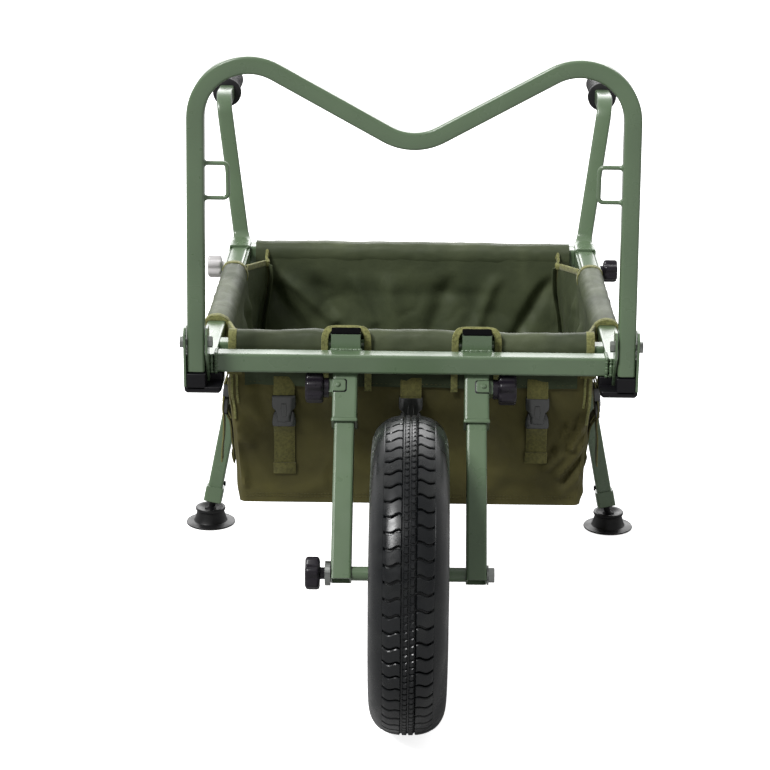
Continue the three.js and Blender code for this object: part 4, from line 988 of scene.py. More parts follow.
@dataclass
class Handles:
    """Pull-out handles: a spigot in the rail, a swollen elbow, a riser, and a ribbed grip with a flange."""

    rail_x: float = 263.5
    height: float = 432
    spigot: float = 20
    spigot_start: float = 140
    elbow_start: float = 318.3
    elbow: float = 31.6
    size: float = 23
    bend_y: float = 344
    top: Point = (296, 412, 647)
    end_y: float = 596.7
    grip_start: float = 476
    grip_end: float = 600
    grip_radius: float = 17
    flange: float = 22.5
    ribs: int = 15
    rib_depth: float = 1.3
    ribs_inset: Flat = (16, 14)
    bends: Flat = (34, 32)
    bend_steps: int = 18
    corners: Flat = (4, 3.2)
    spigot_corner: float = 2
    spigot_overlap: float = 4

    def tube(self, sign: int) -> Shape:
        """The handle's tube on one side."""
        x, z = sign * self.rail_x, self.height
        top_x, top_y, top_z = sign * self.top[0], *self.top[1:]
        line = [(x, self.elbow_start, z), (x, self.bend_y, z), (top_x, top_y, top_z),
                (top_x, self.end_y, top_z)]
        path = bent_path(line, self.bends, (1, 0, 0), self.bend_steps)
        rings = []
        for i, station in enumerate(path):
            ease = smoothstep(i, 0, self.bend_steps + 1)
            size = self.elbow + (self.size - self.elbow) * ease
            corner = self.corners[0] + (self.corners[1] - self.corners[0]) * ease
            rings.append(station.ring(squircle(size, corner)))
        ends = (self.spigot_start, self.elbow_start + self.spigot_overlap)
        inner = [Station(Vector((x, y, z)), path[0].across, path[0].up) for y in ends]
        return loft(rings).add(tube(inner, squircle(self.spigot, self.spigot_corner)))

    def grip(self, sign: int) -> Shape:
        """The grip, turned round its own axis, with ribs between the flange and the rounded end."""
        length = self.grip_end - self.grip_start
        r, f, low = self.grip_radius, self.flange, self.grip_radius - self.rib_depth
        profile = [(self.size / 2 + 0.4, 0), (f - 2, 0), (f - 0.6, 0.5), (f, 2), (f, 6.5), (f - 0.8, 8.4),
                   (f - 3, 9.2), (r + 0.8, 10), (r, 12.5)]
        start, end = self.ribs_inset[0], length - self.ribs_inset[1]
        for k in range(self.ribs):
            at = start + k * (end - start) / self.ribs
            profile += [(r, at), (low, at + 0.9), (low, at + 2.4), (r, at + 3.3)]
        profile += [(r, end), (r, length - 6), (r - 1, length - 3), (r - 3.4, length - 0.8), (r - 6, length),
                    (0, length)]
        place = Matrix.Translation((sign * self.top[0], self.grip_start, self.top[2]))
        return turned(profile, 56).moved(place @ Matrix.Rotation(-math.pi / 2, 4, "X"))

    def dress(self) -> None:
        """Build both handles and grips."""
        for side, sign in SIDES.items():
            build(f"handle_{side}_tube", self.tube(sign), [Look.PAINT], f"handle_{side}", [f"handle_{side}"])
            build(f"grip_{side}_ribbed", self.grip(sign), [Look.GRIP], f"handle_{side}", [f"grip_{side}"])


@dataclass
class Knob:
    """A moulded knob with soft lobes, a neck, a dished face and a plated bolt."""

    name: str
    place: Point
    sign: int
    radius: float
    length: float
    neck: float = 8
    neck_length: float = 6
    bolt: float = 4
    bolt_length: float = 8
    look: Look = Look.KNOB
    lobes: int = 6
    steps: int = 96
    lobe_swell: float = 0.18

    def outline(self, radius: float, depth: float) -> list[Vector]:
        """A ring with lobes; depth is the hollows' depth as a share of the radius."""
        ring = []
        for x, y in circle(1, self.steps):
            wave = math.cos(self.lobes * math.atan2(y, x))
            r = radius * (1 - depth + depth * (wave + self.lobe_swell * (1 - wave * wave)))
            ring.append(Vector((r * x, r * y, 0)))
        return ring

    def head(self) -> Shape:
        """Neck and lobed head along +Z, as (radius, depth of the hollows, height) levels."""
        base, top, r = self.neck_length, self.neck_length + self.length, self.radius
        neck = [(self.neck, 0, 0), (self.neck, 0, base - 1.2), (self.neck + 1.4, 0, base - 0.2)]
        side = [(0.84, 0.05, base), (0.94, 0.09, base + 0.8), (0.99, 0.1, base + 2.6), (1, 0.1, base + 4),
                (1, 0.1, top - 4), (0.985, 0.1, top - 2.4), (0.93, 0.09, top - 0.8), (0.84, 0.07, top),
                (0.62, 0.02, top), (0.56, 0, top - 0.5), (0.5, 0, top - 1.6), (0.1, 0, top - 1.9)]
        levels = neck + [(r * share, depth, h) for share, depth, h in side]
        return loft([[p + Vector((0, 0, h)) for p in self.outline(radius, depth)]
                     for radius, depth, h in levels])

    def dress(self) -> None:
        """Build the knob."""
        b, n = self.bolt, self.bolt_length
        bolt = turned([(0, -n), (b - 0.6, -n), (b, -n + 0.6), (b, 0.5), (0, 0.5)], 28).looking(1)
        shape = self.head().add(bolt).moved(Matrix.Translation(self.place) @ along_x(self.sign))
        build(f"{self.name}_lobed", shape, [self.look, Look.ZINC], self.name, [self.name], 40)


AXLE_KNOB = (-105.9, -400, 200)
FORK_KNOB = (106.3, -251.19, 397.0)
HANDLE_KNOB = (279.6, 220, 432)


def knobs() -> list[Knob]:
    """The five knobs: on the axle, on the fork sleeves and on the handle channels."""
    made = [Knob("axle_knob", AXLE_KNOB, -1, radius=22, length=18, neck=7.5, bolt=3.4, bolt_length=0.2)]
    for side, sign in SIDES.items():
        fork, handle = ((sign * x, y, z) for x, y, z in (FORK_KNOB, HANDLE_KNOB))
        made.append(Knob(f"fork_knob_{side}", fork, sign, radius=21, length=23, neck=13, neck_length=7))
        # the left handle knob takes the off-white colour: a painted highlight
        made.append(Knob(f"handle_knob_{side}", handle, sign, radius=17, length=20, bolt_length=5.8,
                         look=Look.KNOB_PAINTED_GLARE if side == "left" else Look.KNOB))
    return made


@dataclass
class Feet:
    """Mud feet: a thin disc, a cone with a rolled upper ring, and a cup round the ankle's ball."""

    x: float = 313.6
    y: float = 273
    ball: float = 18
    cup: float = 10.3
    cup_arc: tuple[float, float, int] = (28, 118, 10)

    def profile(self) -> list[Flat]:
        """Outline from the middle of the sole up, over and into the cup."""
        disc = [(0, 0), (36, 0), (38, 0.6), (38.5, 1.6), (38, 2.7), (36.5, 3.1)]
        cone = [(28.2, 4), (26.4, 4.6), (25.2, 6.5), (23.4, 12), (21.6, 18.5), (21.2, 20.6)]
        ring = [(21.8, 21.8), (23.2, 22.4), (23.6, 23.6), (23.5, 25.8), (22.8, 26.8), (21.4, 27), (18.6, 27),
                (17.4, 26.4), (10.4, 23.4)]
        start, sweep, steps = self.cup_arc
        angles = [math.radians(start - sweep * i / steps) for i in range(steps)]
        cup = [(self.cup * math.cos(a), self.ball + self.cup * math.sin(a)) for a in angles]
        return disc + cone + ring + cup + [(0, self.ball - self.cup)]

    def dress(self) -> None:
        """Build both feet."""
        for side, sign in SIDES.items():
            foot = turned(self.profile(), 64).moved(Matrix.Translation((sign * self.x, self.y, 0)))
            build(f"foot_{side}_turned", foot, [Look.FOOT], f"foot_{side}", [f"foot_{side}"], 35)


@dataclass
class CornerBlocks:
    """Moulded blocks at the foot of the bar: a chamfered shoe in the bracket, and a shelf under the rail."""

    front: float = -292
    rear: float = -234
    outer: float = 289.5
    inner: float = 242
    bottom: float = 400
    plate_top: float = 408.7
    overlap: float = 3
    soft_edge: float = 0.8
    least_corner: float = 0.6
    pad: tuple[float, float, float, float] = (261.9, 286.2, -266.6, 426)
    shelf: tuple[float, float, float, float] = (242, 276, -262.7, 419.2)

    def slab(self, sign: int, x: Flat, y: Flat, z: Flat, corner: float, drop: float) -> Shape:
        """A block with rounded upright corners and a chamfered underside.

        Args:
            sign: Side of the trolley.
            x: Near and far.
            y: Front and back.
            z: Bottom and top.
            corner: Radius of the upright corners.
            drop: Size of the chamfer under it.

        Returns:
            The block.
        """
        middle, soft = Vector((sign * (x[0] + x[1]) / 2, (y[0] + y[1]) / 2, 0)), self.soft_edge
        levels = ((drop, z[0]), (soft, z[0] + drop * 0.7), (0, z[0] + drop), (0, z[1] - soft), (soft, z[1]))
        rings = []
        for inset, height in levels:
            round_off = max(corner - inset, self.least_corner)
            outline = squircle(x[1] - x[0] - 2 * inset, round_off, 4, y[1] - y[0] - 2 * inset)
            rings.append([middle + Vector((a, b, height)) for a, b in outline])
        return loft(rings)

    def dress(self) -> None:
        """Build both blocks: the plate, the pad in the bracket's foot and the shelf under the rail."""
        foot = self.plate_top - self.overlap
        for side, sign in SIDES.items():
            block = self.slab(sign, (self.inner, self.outer), (self.front, self.rear),
                              (self.bottom, self.plate_top), 4, 3.5)
            block.add(self.slab(sign, self.pad[:2], (self.front, self.pad[2]), (foot, self.pad[3]), 1.5, 0.5))
            block.add(self.slab(sign, self.shelf[:2], (self.shelf[2], self.rear), (foot, self.shelf[3]),
                                2, 0.5))
            build(f"corner_block_{side}_moulded", block, [Look.BLOCK], "frame", [f"corner_block_{side}"], 30)


# Soft goods


def offset(outline: Outline, by: float) -> list[Flat]:
    """Move a closed counter-clockwise outline outwards by a distance."""
    moved = []
    count = len(outline)
    for i, (a, b) in enumerate(outline):
        (a0, b0), (a1, b1) = outline[i - 1], outline[(i + 1) % count]
        length = math.hypot(a1 - a0, b1 - b0) or 1.0
        moved.append((a + by * (b1 - b0) / length, b - by * (a1 - a0) / length))
    return moved


def wobble(x: float, y: float, z: float, size: float) -> float:
    """Smooth noise from -1 to 1 whose lumps are about size across."""
    return noise.noise(Vector((x, y, z)) / size)


def crease(x: float, y: float, z: float, size: float, sharpness: float = 7) -> float:
    """Narrow soft ridges, from 0 to 1, that wander over the cloth about size apart."""
    return math.exp(-(wobble(x, y, z, size) * sharpness) ** 2)


@dataclass(frozen=True)
class Fold:
    """A crease or ridge on a panel, along a line from one (across, height) place to another."""

    side: str
    start: Flat
    end: Flat
    rise: float
    width: float

    def lift(self, across: float, height: float) -> float:
        """How far it lifts the cloth outwards at a place."""
        a, b, p = Vector(self.start), Vector(self.end), Vector((across, height))
        t = min(max((p - a).dot(b - a) / (b - a).length_squared, 0), 1)
        gap = (p - a.lerp(b, t)).length / self.width
        return self.rise * math.exp(-gap * gap)


FOLDS = (
    Fold("front", (240, 356), (214, 298), 7, 6),
    Fold("front", (214, 298), (184, 266), 5, 6),
    Fold("front", (228, 338), (207, 292), -6, 5),
    Fold("front", (206, 324), (190, 288), -5.5, 5),
    Fold("front", (213, 332), (196, 300), 4.5, 4),
    Fold("front", (238, 304), (200, 256), 5, 6),
    Fold("front", (234, 290), (206, 246), -4.5, 5),
    Fold("front", (232, 262), (204, 230), 3.5, 7),
    Fold("front", (-238, 350), (-206, 318), -3.5, 7),
    Fold("front", (-234, 318), (-214, 296), 3, 6),
    Fold("front", (-232, 300), (-222, 240), 3.5, 6),
    Fold("front", (-206, 392), (-196, 340), -3, 8),
    Fold("front", (-120, 400), (-80, 300), 2, 18),
    Fold("front", (80, 380), (130, 260), 2.4, 20),
    Fold("rear", (-236, 410), (-150, 290), 8, 11),
    Fold("rear", (-205, 410), (-120, 330), -7, 9),
    Fold("rear", (-150, 410), (-90, 260), 6, 14),
    Fold("rear", (-95, 410), (-60, 330), -4, 8),
    Fold("rear", (-40, 410), (-10, 250), -6, 16),
    Fold("rear", (60, 410), (20, 280), 6, 14),
    Fold("rear", (130, 410), (90, 300), -6, 10),
    Fold("rear", (215, 410), (150, 290), 8, 10),
    Fold("left", (120, 410), (60, 300), 6, 14),
    Fold("left", (60, 410), (20, 260), -6, 15),
    Fold("left", (-60, 410), (-30, 300), 6, 14),
    Fold("left", (150, 400), (190, 270), -6, 12),
    Fold("right", (130, 410), (80, 310), 6, 14),
    Fold("right", (40, 410), (70, 270), -6, 15),
    Fold("right", (-40, 410), (-70, 290), 6, 14),
    Fold("right", (170, 400), (200, 280), -6, 12),
)


@dataclass(frozen=True)
class Slack:
    """How an end's upper corners hang: drawn in to an apex, over a reach along the side and the end panel."""

    apex: Point
    reach: Flat
    low: float


@dataclass
class Bag:
    """The sewn bag: one sagging shell of coated cloth with a lining, slack at its cut-away upper corners."""

    floor: float = 212
    rail_top: float = 444.5
    edge: float = 436
    hem_end: float = 443
    half_top: float = 247.4
    half_floor: float = 230
    front: float = -184.4
    rear_top: float = 288.4
    rear_floor: float = 276
    side_reach: float = 235
    side_middle: float = 52
    board: float = 6
    cloth: float = 2
    corner: float = 9
    corner_pull: float = 3.4
    side_points: int = 108
    rows: int = 56
    slack_rear: Slack = Slack((23, -16, 428), (108, 26), 290)
    slack_front: Slack = Slack((14, 15, 447), (74, 20), 370)
    belly: Flat = (3.5, 430)
    lumps: Flat = (2.6, 0.9)
    creases: Flat = (2.2, 1.1)
    lumps_end: Point = (22, 372, 404)
    folds_start: float = 14
    folds_front: Point = (1.45, 384, 408)
    folds_other: Point = (1.2, 380, 412)
    under_shares: Sequence[float] = (0.3, 0.7, 0.97)
    floor_shares: Sequence[float] = (0.985, 0.93, 0.86, 0.78, 0.68, 0.56, 0.43, 0.3, 0.15)
    floor_dip: Flat = (1.2, 0.9)
    groove: Flat = (0.9, 0.96)
    near_corner: float = 0.9999
    tape: Flat = (4.6, 9.5)
    tape_drop: float = 3.2
    tape_steps: tuple[int, int] = (12, 5)
    tape_past: Flat = (3, 2)
    seam_steps: int = 30
    fin: Flat = (8.5, 2.4)
    welt: Flat = (2.2, 7.0)

    def between(self, low: float, high: float, height: float) -> float:
        """A measure that grows evenly from low at the floor to high at the rails' tops."""
        return low + (high - low) * (height - self.floor) / (self.rail_top - self.floor)

    def half(self, height: float) -> float:
        """Half width at a height."""
        return self.between(self.half_floor, self.half_top, height)

    def rear(self, height: float) -> float:
        """Rear panel's place at a height."""
        return self.between(self.rear_floor, self.rear_top, height)

    def lift(self, side: str, across: float, height: float) -> float:
        """How far a panel's cloth stands out from its plane at a place."""
        start, *end = self.lumps_end
        calm = smoothstep(height, self.floor, self.floor + start) * (1 - smoothstep(height, *end))
        is_end = side in ("front", "rear")
        reach, off = (self.half(height), across) if is_end else (self.side_reach, across - self.side_middle)
        depth, top = self.belly
        full = math.sin(math.pi * smoothstep(height, self.floor, top))
        belly = depth * max(1 - (off / reach) ** 2, 0) * full
        seed = {"front": 0, "rear": 300, "left": 600, "right": 900}[side]
        large, small = self.lumps
        lumps = large * wobble(across, height * 0.7, seed, 85) + small * wobble(across, height, seed + 40, 32)
        large, small = self.creases
        lumps += large * crease(across * 0.8 + height * 0.5, height - across * 0.3, seed + 9, 90)
        lumps += small * crease(across, height * 0.8 + across * 0.4, seed + 70, 46)
        deep, *fade = self.folds_front if side == "front" else self.folds_other
        folds = deep * sum(fold.lift(across, height) for fold in FOLDS if fold.side == side)
        grow = smoothstep(height, self.floor, self.floor + self.folds_start)
        return calm * (belly + lumps) + folds * grow * (1 - smoothstep(height, *fade))

    def skin(self, side: str, across: float, height: float, out: float = 0.0) -> Vector:
        """A point on a panel's outer face, or so far out of it."""
        far = self.lift(side, across, height) + out
        if side == "front":
            return Vector((across, self.front - far, height))
        if side == "rear":
            return Vector((across, self.rear(height) + far, height))
        return Vector((SIDES[side] * (self.half(height) + far), across, height))

    def hang(self, end: str) -> Slack:
        """How the upper corners of an end hang."""
        return self.slack_rear if end == "rear" else self.slack_front

    def slack(self, side: str, across: float) -> tuple[Slack, float]:
        """The slack of the upper corner near a place on a panel, and how near it is from 0 to 1."""
        if side in ("front", "rear"):
            hang = self.hang(side)
            return hang, max(1 - (self.half_top - abs(across)) / hang.reach[1], 0)
        back, ahead = self.rear_top - across, across - self.front
        hang, gap = (self.slack_rear, back) if back < ahead else (self.slack_front, ahead)
        return hang, max(1 - gap / hang.reach[0], 0)

    def top(self, side: str, across: float) -> float:
        """Height of the upper edge."""
        hang, share = self.slack(side, across)
        return self.hem_end + (hang.apex[2] - self.hem_end) * share if share > 0 else self.edge

    def stations(self) -> list[tuple[str, float]]:
        """Places round the bag, as a side and a share from -1 to 1 along it."""
        order = (("rear", -1), ("left", -1), ("front", 1), ("right", 1))
        return [(side, way * (-1 + 2 * (k + 0.5) / self.side_points)) for side, way in order
                for k in range(self.side_points)]

    def at(self, side: str, share: float, rise: float, inside: float = 0.0) -> Vector:
        """A point of the shell.

        Args:
            side: Panel.
            share: Place along it, from -1 to 1.
            rise: From 0 at the floor to 1 at the upper edge.
            inside: How far inside the outer face.

        Returns:
            The point.
        """
        low_mid, half_run = self.run(side, self.rail_top)
        height = self.floor + (self.top(side, low_mid + half_run * share) - self.floor) * rise
        middle, run = self.run(side, height)
        across = middle + (run - inside * abs(share) ** 8) * share
        point = self.skin(side, across, height, -inside)
        # the corner is rounded by drawing its last few millimetres in
        gap = (1 - abs(share)) * run
        if gap < self.corner:
            pull = self.corner - gap
            point -= Vector((math.copysign(1, point.x), math.copysign(1, point.y - 50), 0)) * pull * pull / (
                self.corner_pull * self.corner) * Vector((1, 1, 0)).length
        hang, slack = self.slack(side, low_mid + half_run * share)
        draw = slack * smoothstep(point.z, hang.low, hang.apex[2])
        return point + Vector((-math.copysign(hang.apex[0], point.x), hang.apex[1], 0)) * draw

    def run(self, side: str, height: float) -> Flat:
        """Middle and half length of a side at a height."""
        if side in ("front", "rear"):
            return 0.0, self.half(height)
        return (self.front + self.rear(height)) / 2, (self.rear(height) - self.front) / 2

    def shell(self) -> Shape:
        """Outer skin, upper edge, lining and floor as one closed shell."""
        around = self.stations()
        outer = [[self.at(side, share, r / self.rows) for side, share in around]
                 for r in range(self.rows + 1)]
        inner = [[self.at(side, share, r / self.rows, self.cloth) for side, share in around]
                 for r in range(self.rows, -1, -1)]
        lift = Vector((0, 0, self.board))
        inner[-1] = [p + lift for p in inner[-1]]
        middle = Vector((0, (self.front + self.rear_floor) / 2, 0))
        under = [[middle + (p - middle) * share + Vector((0, 0, p.z * (1 - share))) for p in outer[0]]
                 for share in self.under_shares]
        floor = []
        for share in self.floor_shares:
            ring = []
            for p in inner[-1]:
                q = middle + (p - middle) * share
                dip = self.floor_dip[0] * wobble(q.x, q.y, 5, 60)
                dip -= self.floor_dip[1] * (self.groove[0] < share < self.groove[1])
                ring.append(Vector((q.x, q.y, self.floor + self.board + dip)))
            floor.append(ring)
        rings = under + outer + inner + floor
        shape = loft(rings)
        outside, bands = len(under) + len(outer) - 1, len(rings) - 1
        shape.looks = [0 if band < outside else 1 for band in range(bands) for _ in around] + [0, 1]
        return shape

    def edge_tape(self, end: str, sign: int) -> Shape:
        """Binding along the free upper edge at a corner."""
        side = "left" if sign < 0 else "right"
        (along, over), (first, second), (past, beyond) = self.hang(end).reach, self.tape_steps, self.tape_past
        half_run = self.run(side, self.rail_top)[1]
        way = 1 if end == "rear" else -1
        points = []
        for k in range(first + 1):
            share = way * (1 - (1 - k / first) * (along + past) / half_run)
            points.append(self.at(side, share * self.near_corner, 1, self.cloth / 2))
        for k in range(1, second + 1):
            share = sign * (1 - k / second * (over + beyond) / self.half_top)
            points.append(self.at(end, share, 1, self.cloth / 2))
        line = smooth_line(points, 3)
        stations = []
        for i, at in enumerate(line):
            ahead = line[min(i + 1, len(line) - 1)] - line[max(i - 1, 0)]
            ahead.z = 0
            ahead.normalize()
            lump = 1 + 0.12 * wobble(i * 4, sign * 50, 0, 9)
            sideways = Vector((ahead.y, -ahead.x, 0))
            stations.append([at + (sideways * a * lump) + Vector((0, 0, b - self.tape_drop))
                             for a, b in squircle(self.tape[0], 2, 3, self.tape[1])])
        return loft(stations)

    def corner_seam(self, end: str, sign: int, inside: bool) -> Shape:
        """Bound seam down a corner, as a fin inside or a flat welt outside."""
        rings = []
        deep, thick = self.fin if inside else self.welt
        for k in range(self.seam_steps + 1):
            rise = 0.03 + 0.95 * k / self.seam_steps
            at = self.at(end, sign * self.near_corner, rise, self.cloth if inside else 0)
            inwards = Vector((-sign, 1 if end == "front" else -1, 0)).normalized()
            along = Vector((inwards.y, -inwards.x, 0))
            sway = 1.2 * wobble(at.z, sign * 90, 7, 30)
            middle = at + inwards * (deep / 2 - 1 if inside else 0.2) + along * sway
            rings.append([middle + along * a + inwards * b for a, b in squircle(thick, 0.9, 2, deep)])
        return loft(rings)

    def dress(self) -> None:
        """Build the shell, its bindings and its seams."""
        build("bag_shell", self.shell(), [Look.KHAKI, Look.LINING], "frame", ["bag"], 46)
        tape, seams = Shape(), Shape()
        for sign in SIDES.values():
            for end in ("front", "rear"):
                tape.add(self.edge_tape(end, sign))
                seams.add(self.corner_seam(end, sign, True).looking(0))
            for end in ("front", "rear"):
                seams.add(self.corner_seam(end, sign, False).looking(1))
        build("bag_edge_binding", tape, [Look.TAPE], "frame")
        build("bag_corner_seams", seams, [Look.LINING, Look.KHAKI], "frame")


@dataclass
class Hem:
    """A cloth sleeve sewn round one tube, looser than the tube, with bound ends.

    Places in its section are (out, up) from the tube's middle; out points away from the bag.
    """

    name: str
    node: str
    tube_at: Vector
    along: Vector
    out: Vector
    bulge: float
    tail: float
    lip: float
    full: Outline
    open: Outline = ()
    taped: Sequence[tuple[float, int]] = ()
    bore_half: float = 13.1
    bore_power: int = 8
    step: float = 5
    strip_arc: tuple[int, int] = (20, 42)
    strip_steps: int = 8
    strip_thick: float = 1.3
    tape_levels: Outline = ((1.2, 0.7), (0.4, 1.3), (-9, 1.3), (-9.6, 0.1))
    tape_mouth: Flat = (0.2, 1.2)

    def outline(self, where: float) -> list[Flat]:
        """Outer outline of the sleeve at a place along it."""
        b = self.bulge * (1 + 0.3 * wobble(where, 0, self.tube_at.y, 60))
        lean = self.lip * (1 + 0.12 * wobble(where, 9, 3, 40))
        t = self.tail
        points = [(13, -14.6), (15.2, -8), (15.3, 3), (14.4, 11.5), (9, 14.6 + 0.7 * b), (0, 14.8 + b),
                  (-9, 14.4 + 0.75 * b), (-14.6 - lean * 0.4, 10 + 0.2 * b), (-15.4 - lean, -1),
                  (t + 0.4, -13), (t, -19), (t + 1.5, -19.4), (-14.9, -15.8), (-9, -15), (3, -15)]
        smooth = closed_curve(points, 4)
        puckers = [0.55 * wobble(where * 0.5, i * 3.1, 11, 7) + 0.8 * wobble(where, i * 2, 2, 26)
                   for i in range(len(smooth))]
        return self.grown(smooth, puckers)

    def grown(self, outline: Outline, by: Sequence[float]) -> list[Flat]:
        """An outline with each of its points moved outwards by its own distance."""
        far = offset(outline, 1.0)
        return [(a + (g - a) * c, h + (k - h) * c) for (a, h), (g, k), c in zip(outline, far, by)]

    def place(self, where: float, spots: Outline) -> list[Vector]:
        """Put section points in the trolley's frame."""
        return [self.tube_at + self.along * where + self.out * a + Vector((0, 0, h)) for a, h in spots]

    def bore(self, outline: Outline) -> list[Flat]:
        """Inner outline: a rounded square just clear of the tube, seen in the same directions."""
        spots, power = [], self.bore_power
        for a, h in outline:
            reach = (abs(a) ** power + abs(h) ** power) ** (1 / power) or 1.0
            spots.append((a * self.bore_half / reach, h * self.bore_half / reach))
        return spots

    def sleeve(self, start: float, end: float) -> Shape:
        """The closed sleeve between two places."""
        count = max(int((end - start) / self.step), 3)
        outer, inner = [], []
        for k in range(count + 1):
            where = start + (end - start) * k / count
            outline = self.outline(where)
            outer.append(self.place(where, outline))
            inner.append(self.place(where, self.bore(outline)))
        rings = outer + inner[::-1]
        return loft(rings + [rings[0]], (False, False))

    def strip(self, start: float, end: float) -> Shape:
        """Where the sleeve is cut away outside: only its top and its inner side remain."""
        rings, thick = [], self.strip_thick
        for k in range(self.strip_steps + 1):
            where = start + (end - start) * k / self.strip_steps
            arc = self.outline(where)[slice(*self.strip_arc)]
            rings.append(self.place(where, arc + [(a + thick, h - thick) for a, h in arc[::-1]]))
        return loft(rings)

    def end_tape(self, where: float, way: int) -> Shape:
        """Binding over a cut end; way points out of the sleeve."""
        outline = self.outline(where)
        rough = [0.9 + 0.5 * wobble(i * 2.0, where, 1, 4) for i in range(len(outline))]
        rings = [self.place(where + way * along, self.grown(outline, [by * r for r in rough]))
                 for along, by in self.tape_levels]
        rings += [self.place(where + way * along, self.bore(outline)) for along in self.tape_mouth]
        return loft(rings + [rings[0]], (False, False))

    def dress(self) -> None:
        """Build the sleeve and its bound ends."""
        cloth, tape = Shape(), Shape()
        for start, end in self.full:
            cloth.add(self.sleeve(start, end))
        for start, end in self.open:
            cloth.add(self.strip(start, end))
        build(f"{self.name}_sleeve", cloth, [Look.LINING], "frame", [self.node], 60)
        for where, way in self.taped:
            tape.add(self.end_tape(where, way))
        if tape.faces:
            build(f"{self.name}_end_binding", tape, [Look.TAPE], "frame")


def hems() -> list[Hem]:
    """The four sleeves that carry the bag."""
    x_axis, y_axis = Vector((1, 0, 0)), Vector((0, 1, 0))
    made = [
        Hem("front_hem", "hem_front", Vector((0, -199, 432)), x_axis, -y_axis, 12.5, -17.6, 1.5,
            [(-238, -108), (-62, 62), (108, 238)], [(-109, -61), (61, 109)], [(-238, -1), (238, 1)]),
        Hem("rear_hem", "hem_rear", Vector((0, 303, 432)), x_axis, y_axis, 4.5, -16.2, 2.5,
            [(-211, 211)], [(-239, -210), (210, 239)], [])]
    for side, sign in SIDES.items():
        made.append(Hem(f"{side}_hem", f"hem_{side}", Vector((sign * 263.5, 0, 432)), y_axis, x_axis * sign,
                        4.5, -18.2, 5.0, [(-112, 178)], [], [(-112, -1), (178, 1)]))
    return made


@dataclass
class HemTrim:
    """Flaps that hang outside the bag under the front and rear hems, and the tapes beside them."""

    bag: Bag
    top: float = 419
    low: float = 379
    half: float = 220
    thick: float = 1.3
    gap: float = 1.0
    columns: int = 90
    rows: int = 6
    sway: Flat = (1.6, 1.4)
    notches: Flat = (-85, 85)
    notch_half: float = 28
    notch_low: float = 374
    tape_width: float = 9
    tab_out: float = 14
    tab_width: float = 20
    seams: Sequence[Point] = ((241.5, 330, 3.4), (235, 352, 3.0))
    seam_top: float = 420
    seam_steps: int = 8

    def flap(self, side: str) -> Shape:
        """A flap that hangs just clear of a panel."""
        rings = []
        heights = [self.low + (self.top - self.low) * j / self.rows for j in range(self.rows + 1)]
        for k in range(self.columns + 1):
            x = -self.half + 2 * self.half * k / self.columns
            ring = []
            for run, out in ((heights, self.gap), (heights[::-1], self.gap + self.thick)):
                for height in run:
                    drop = 1 - (height - self.low) / (self.top - self.low)
                    wave = drop * (self.sway[0] + self.sway[1] * wobble(x, height, 77, 45))
                    ring.append(self.bag.skin(side, x, height, out + wave))
            rings.append(ring)
        return loft(rings)

    def notch_tape(self, middle: float) -> Shape:
        """The tape that binds the front hem's cut-out round a fork head and hangs on below it."""
        half, low = self.notch_half, self.notch_low
        rise = [(0, -192.6, low), (0, -191.8, low + 15), (0, -193, 402), (0, -207, 412), (0, -216, 421),
                (0, -217, 432), (0, -217, 444), (0.4, -216.2, 455), (3, -214.4, 461.4), (9, -212.4, 464.8),
                (half, -212, 465.4)]
        facing = [(0, -1, 0), (0, -1, 0), (0, -1, -0.8), (0, -1, -0.8), (0, -1, -0.2), (0, -1, 0), (0, -1, 0),
                  (0, -1, 0.3), (0, -0.8, 0.6), (0, -0.6, 0.8), (0, -0.6, 0.8)]
        path = [(middle - half + x, y, z) for x, y, z in rise]
        path += [(middle + half - x, y, z) for x, y, z in rise[-2::-1]]
        return ribbon(path, facing + facing[-2::-1], self.tape_width, 2, 4)

    def end_tab(self, side: str, sign: int) -> Shape:
        """The light tab at the flap's end."""
        x = sign * (self.half + self.tab_out)
        heights = [(self.low + 14, 1.6), (self.low + 24, 2.2), (self.top - 6, 1.6), (self.top, 1.2)]
        points = [tuple(self.bag.skin(side, x, height, out)) for height, out in heights]
        return ribbon(points, [(0, -1 if side == "front" else 1, 0)] * len(points), self.tab_width, 1.3, 5)

    def seam_tape(self, sign: int) -> Shape:
        """The two narrow tapes that run down beside a front corner."""
        shape, steps = Shape(), self.seam_steps
        for x, low, width in self.seams:
            points = []
            for k in range(steps + 1):
                height = self.seam_top - (self.seam_top - low) * k / steps
                across = sign * (x - (430 - height) * 0.075 + 1.4 * wobble(height, x, 3, 22))
                points.append(tuple(self.bag.skin("front", across, height, 0.9)))
            shape.add(ribbon(points, [(0, -1, 0)] * len(points), width, 1.6, 4))
        return shape

    def dress(self) -> None:
        """Build the flaps and the tape."""
        for side in ("front", "rear"):
            flap = build(f"{side}_flap", self.flap(side), [Look.FLAP], "frame", (), 60)
        tape, tabs, seams = Shape(), Shape(), Shape()
        for middle in self.notches:
            tape.add(self.notch_tape(middle))
        build("notch_binding", tape, [Look.TAPE], "frame")
        for sign in SIDES.values():
            tabs.add(self.end_tab("front", sign)).add(self.end_tab("rear", sign))
            seams.add(self.seam_tape(sign))
        build("flap_end_tabs", tabs, [Look.WEBBING], "frame")
        build("front_corner_tapes", seams, [Look.TAPE], "frame")


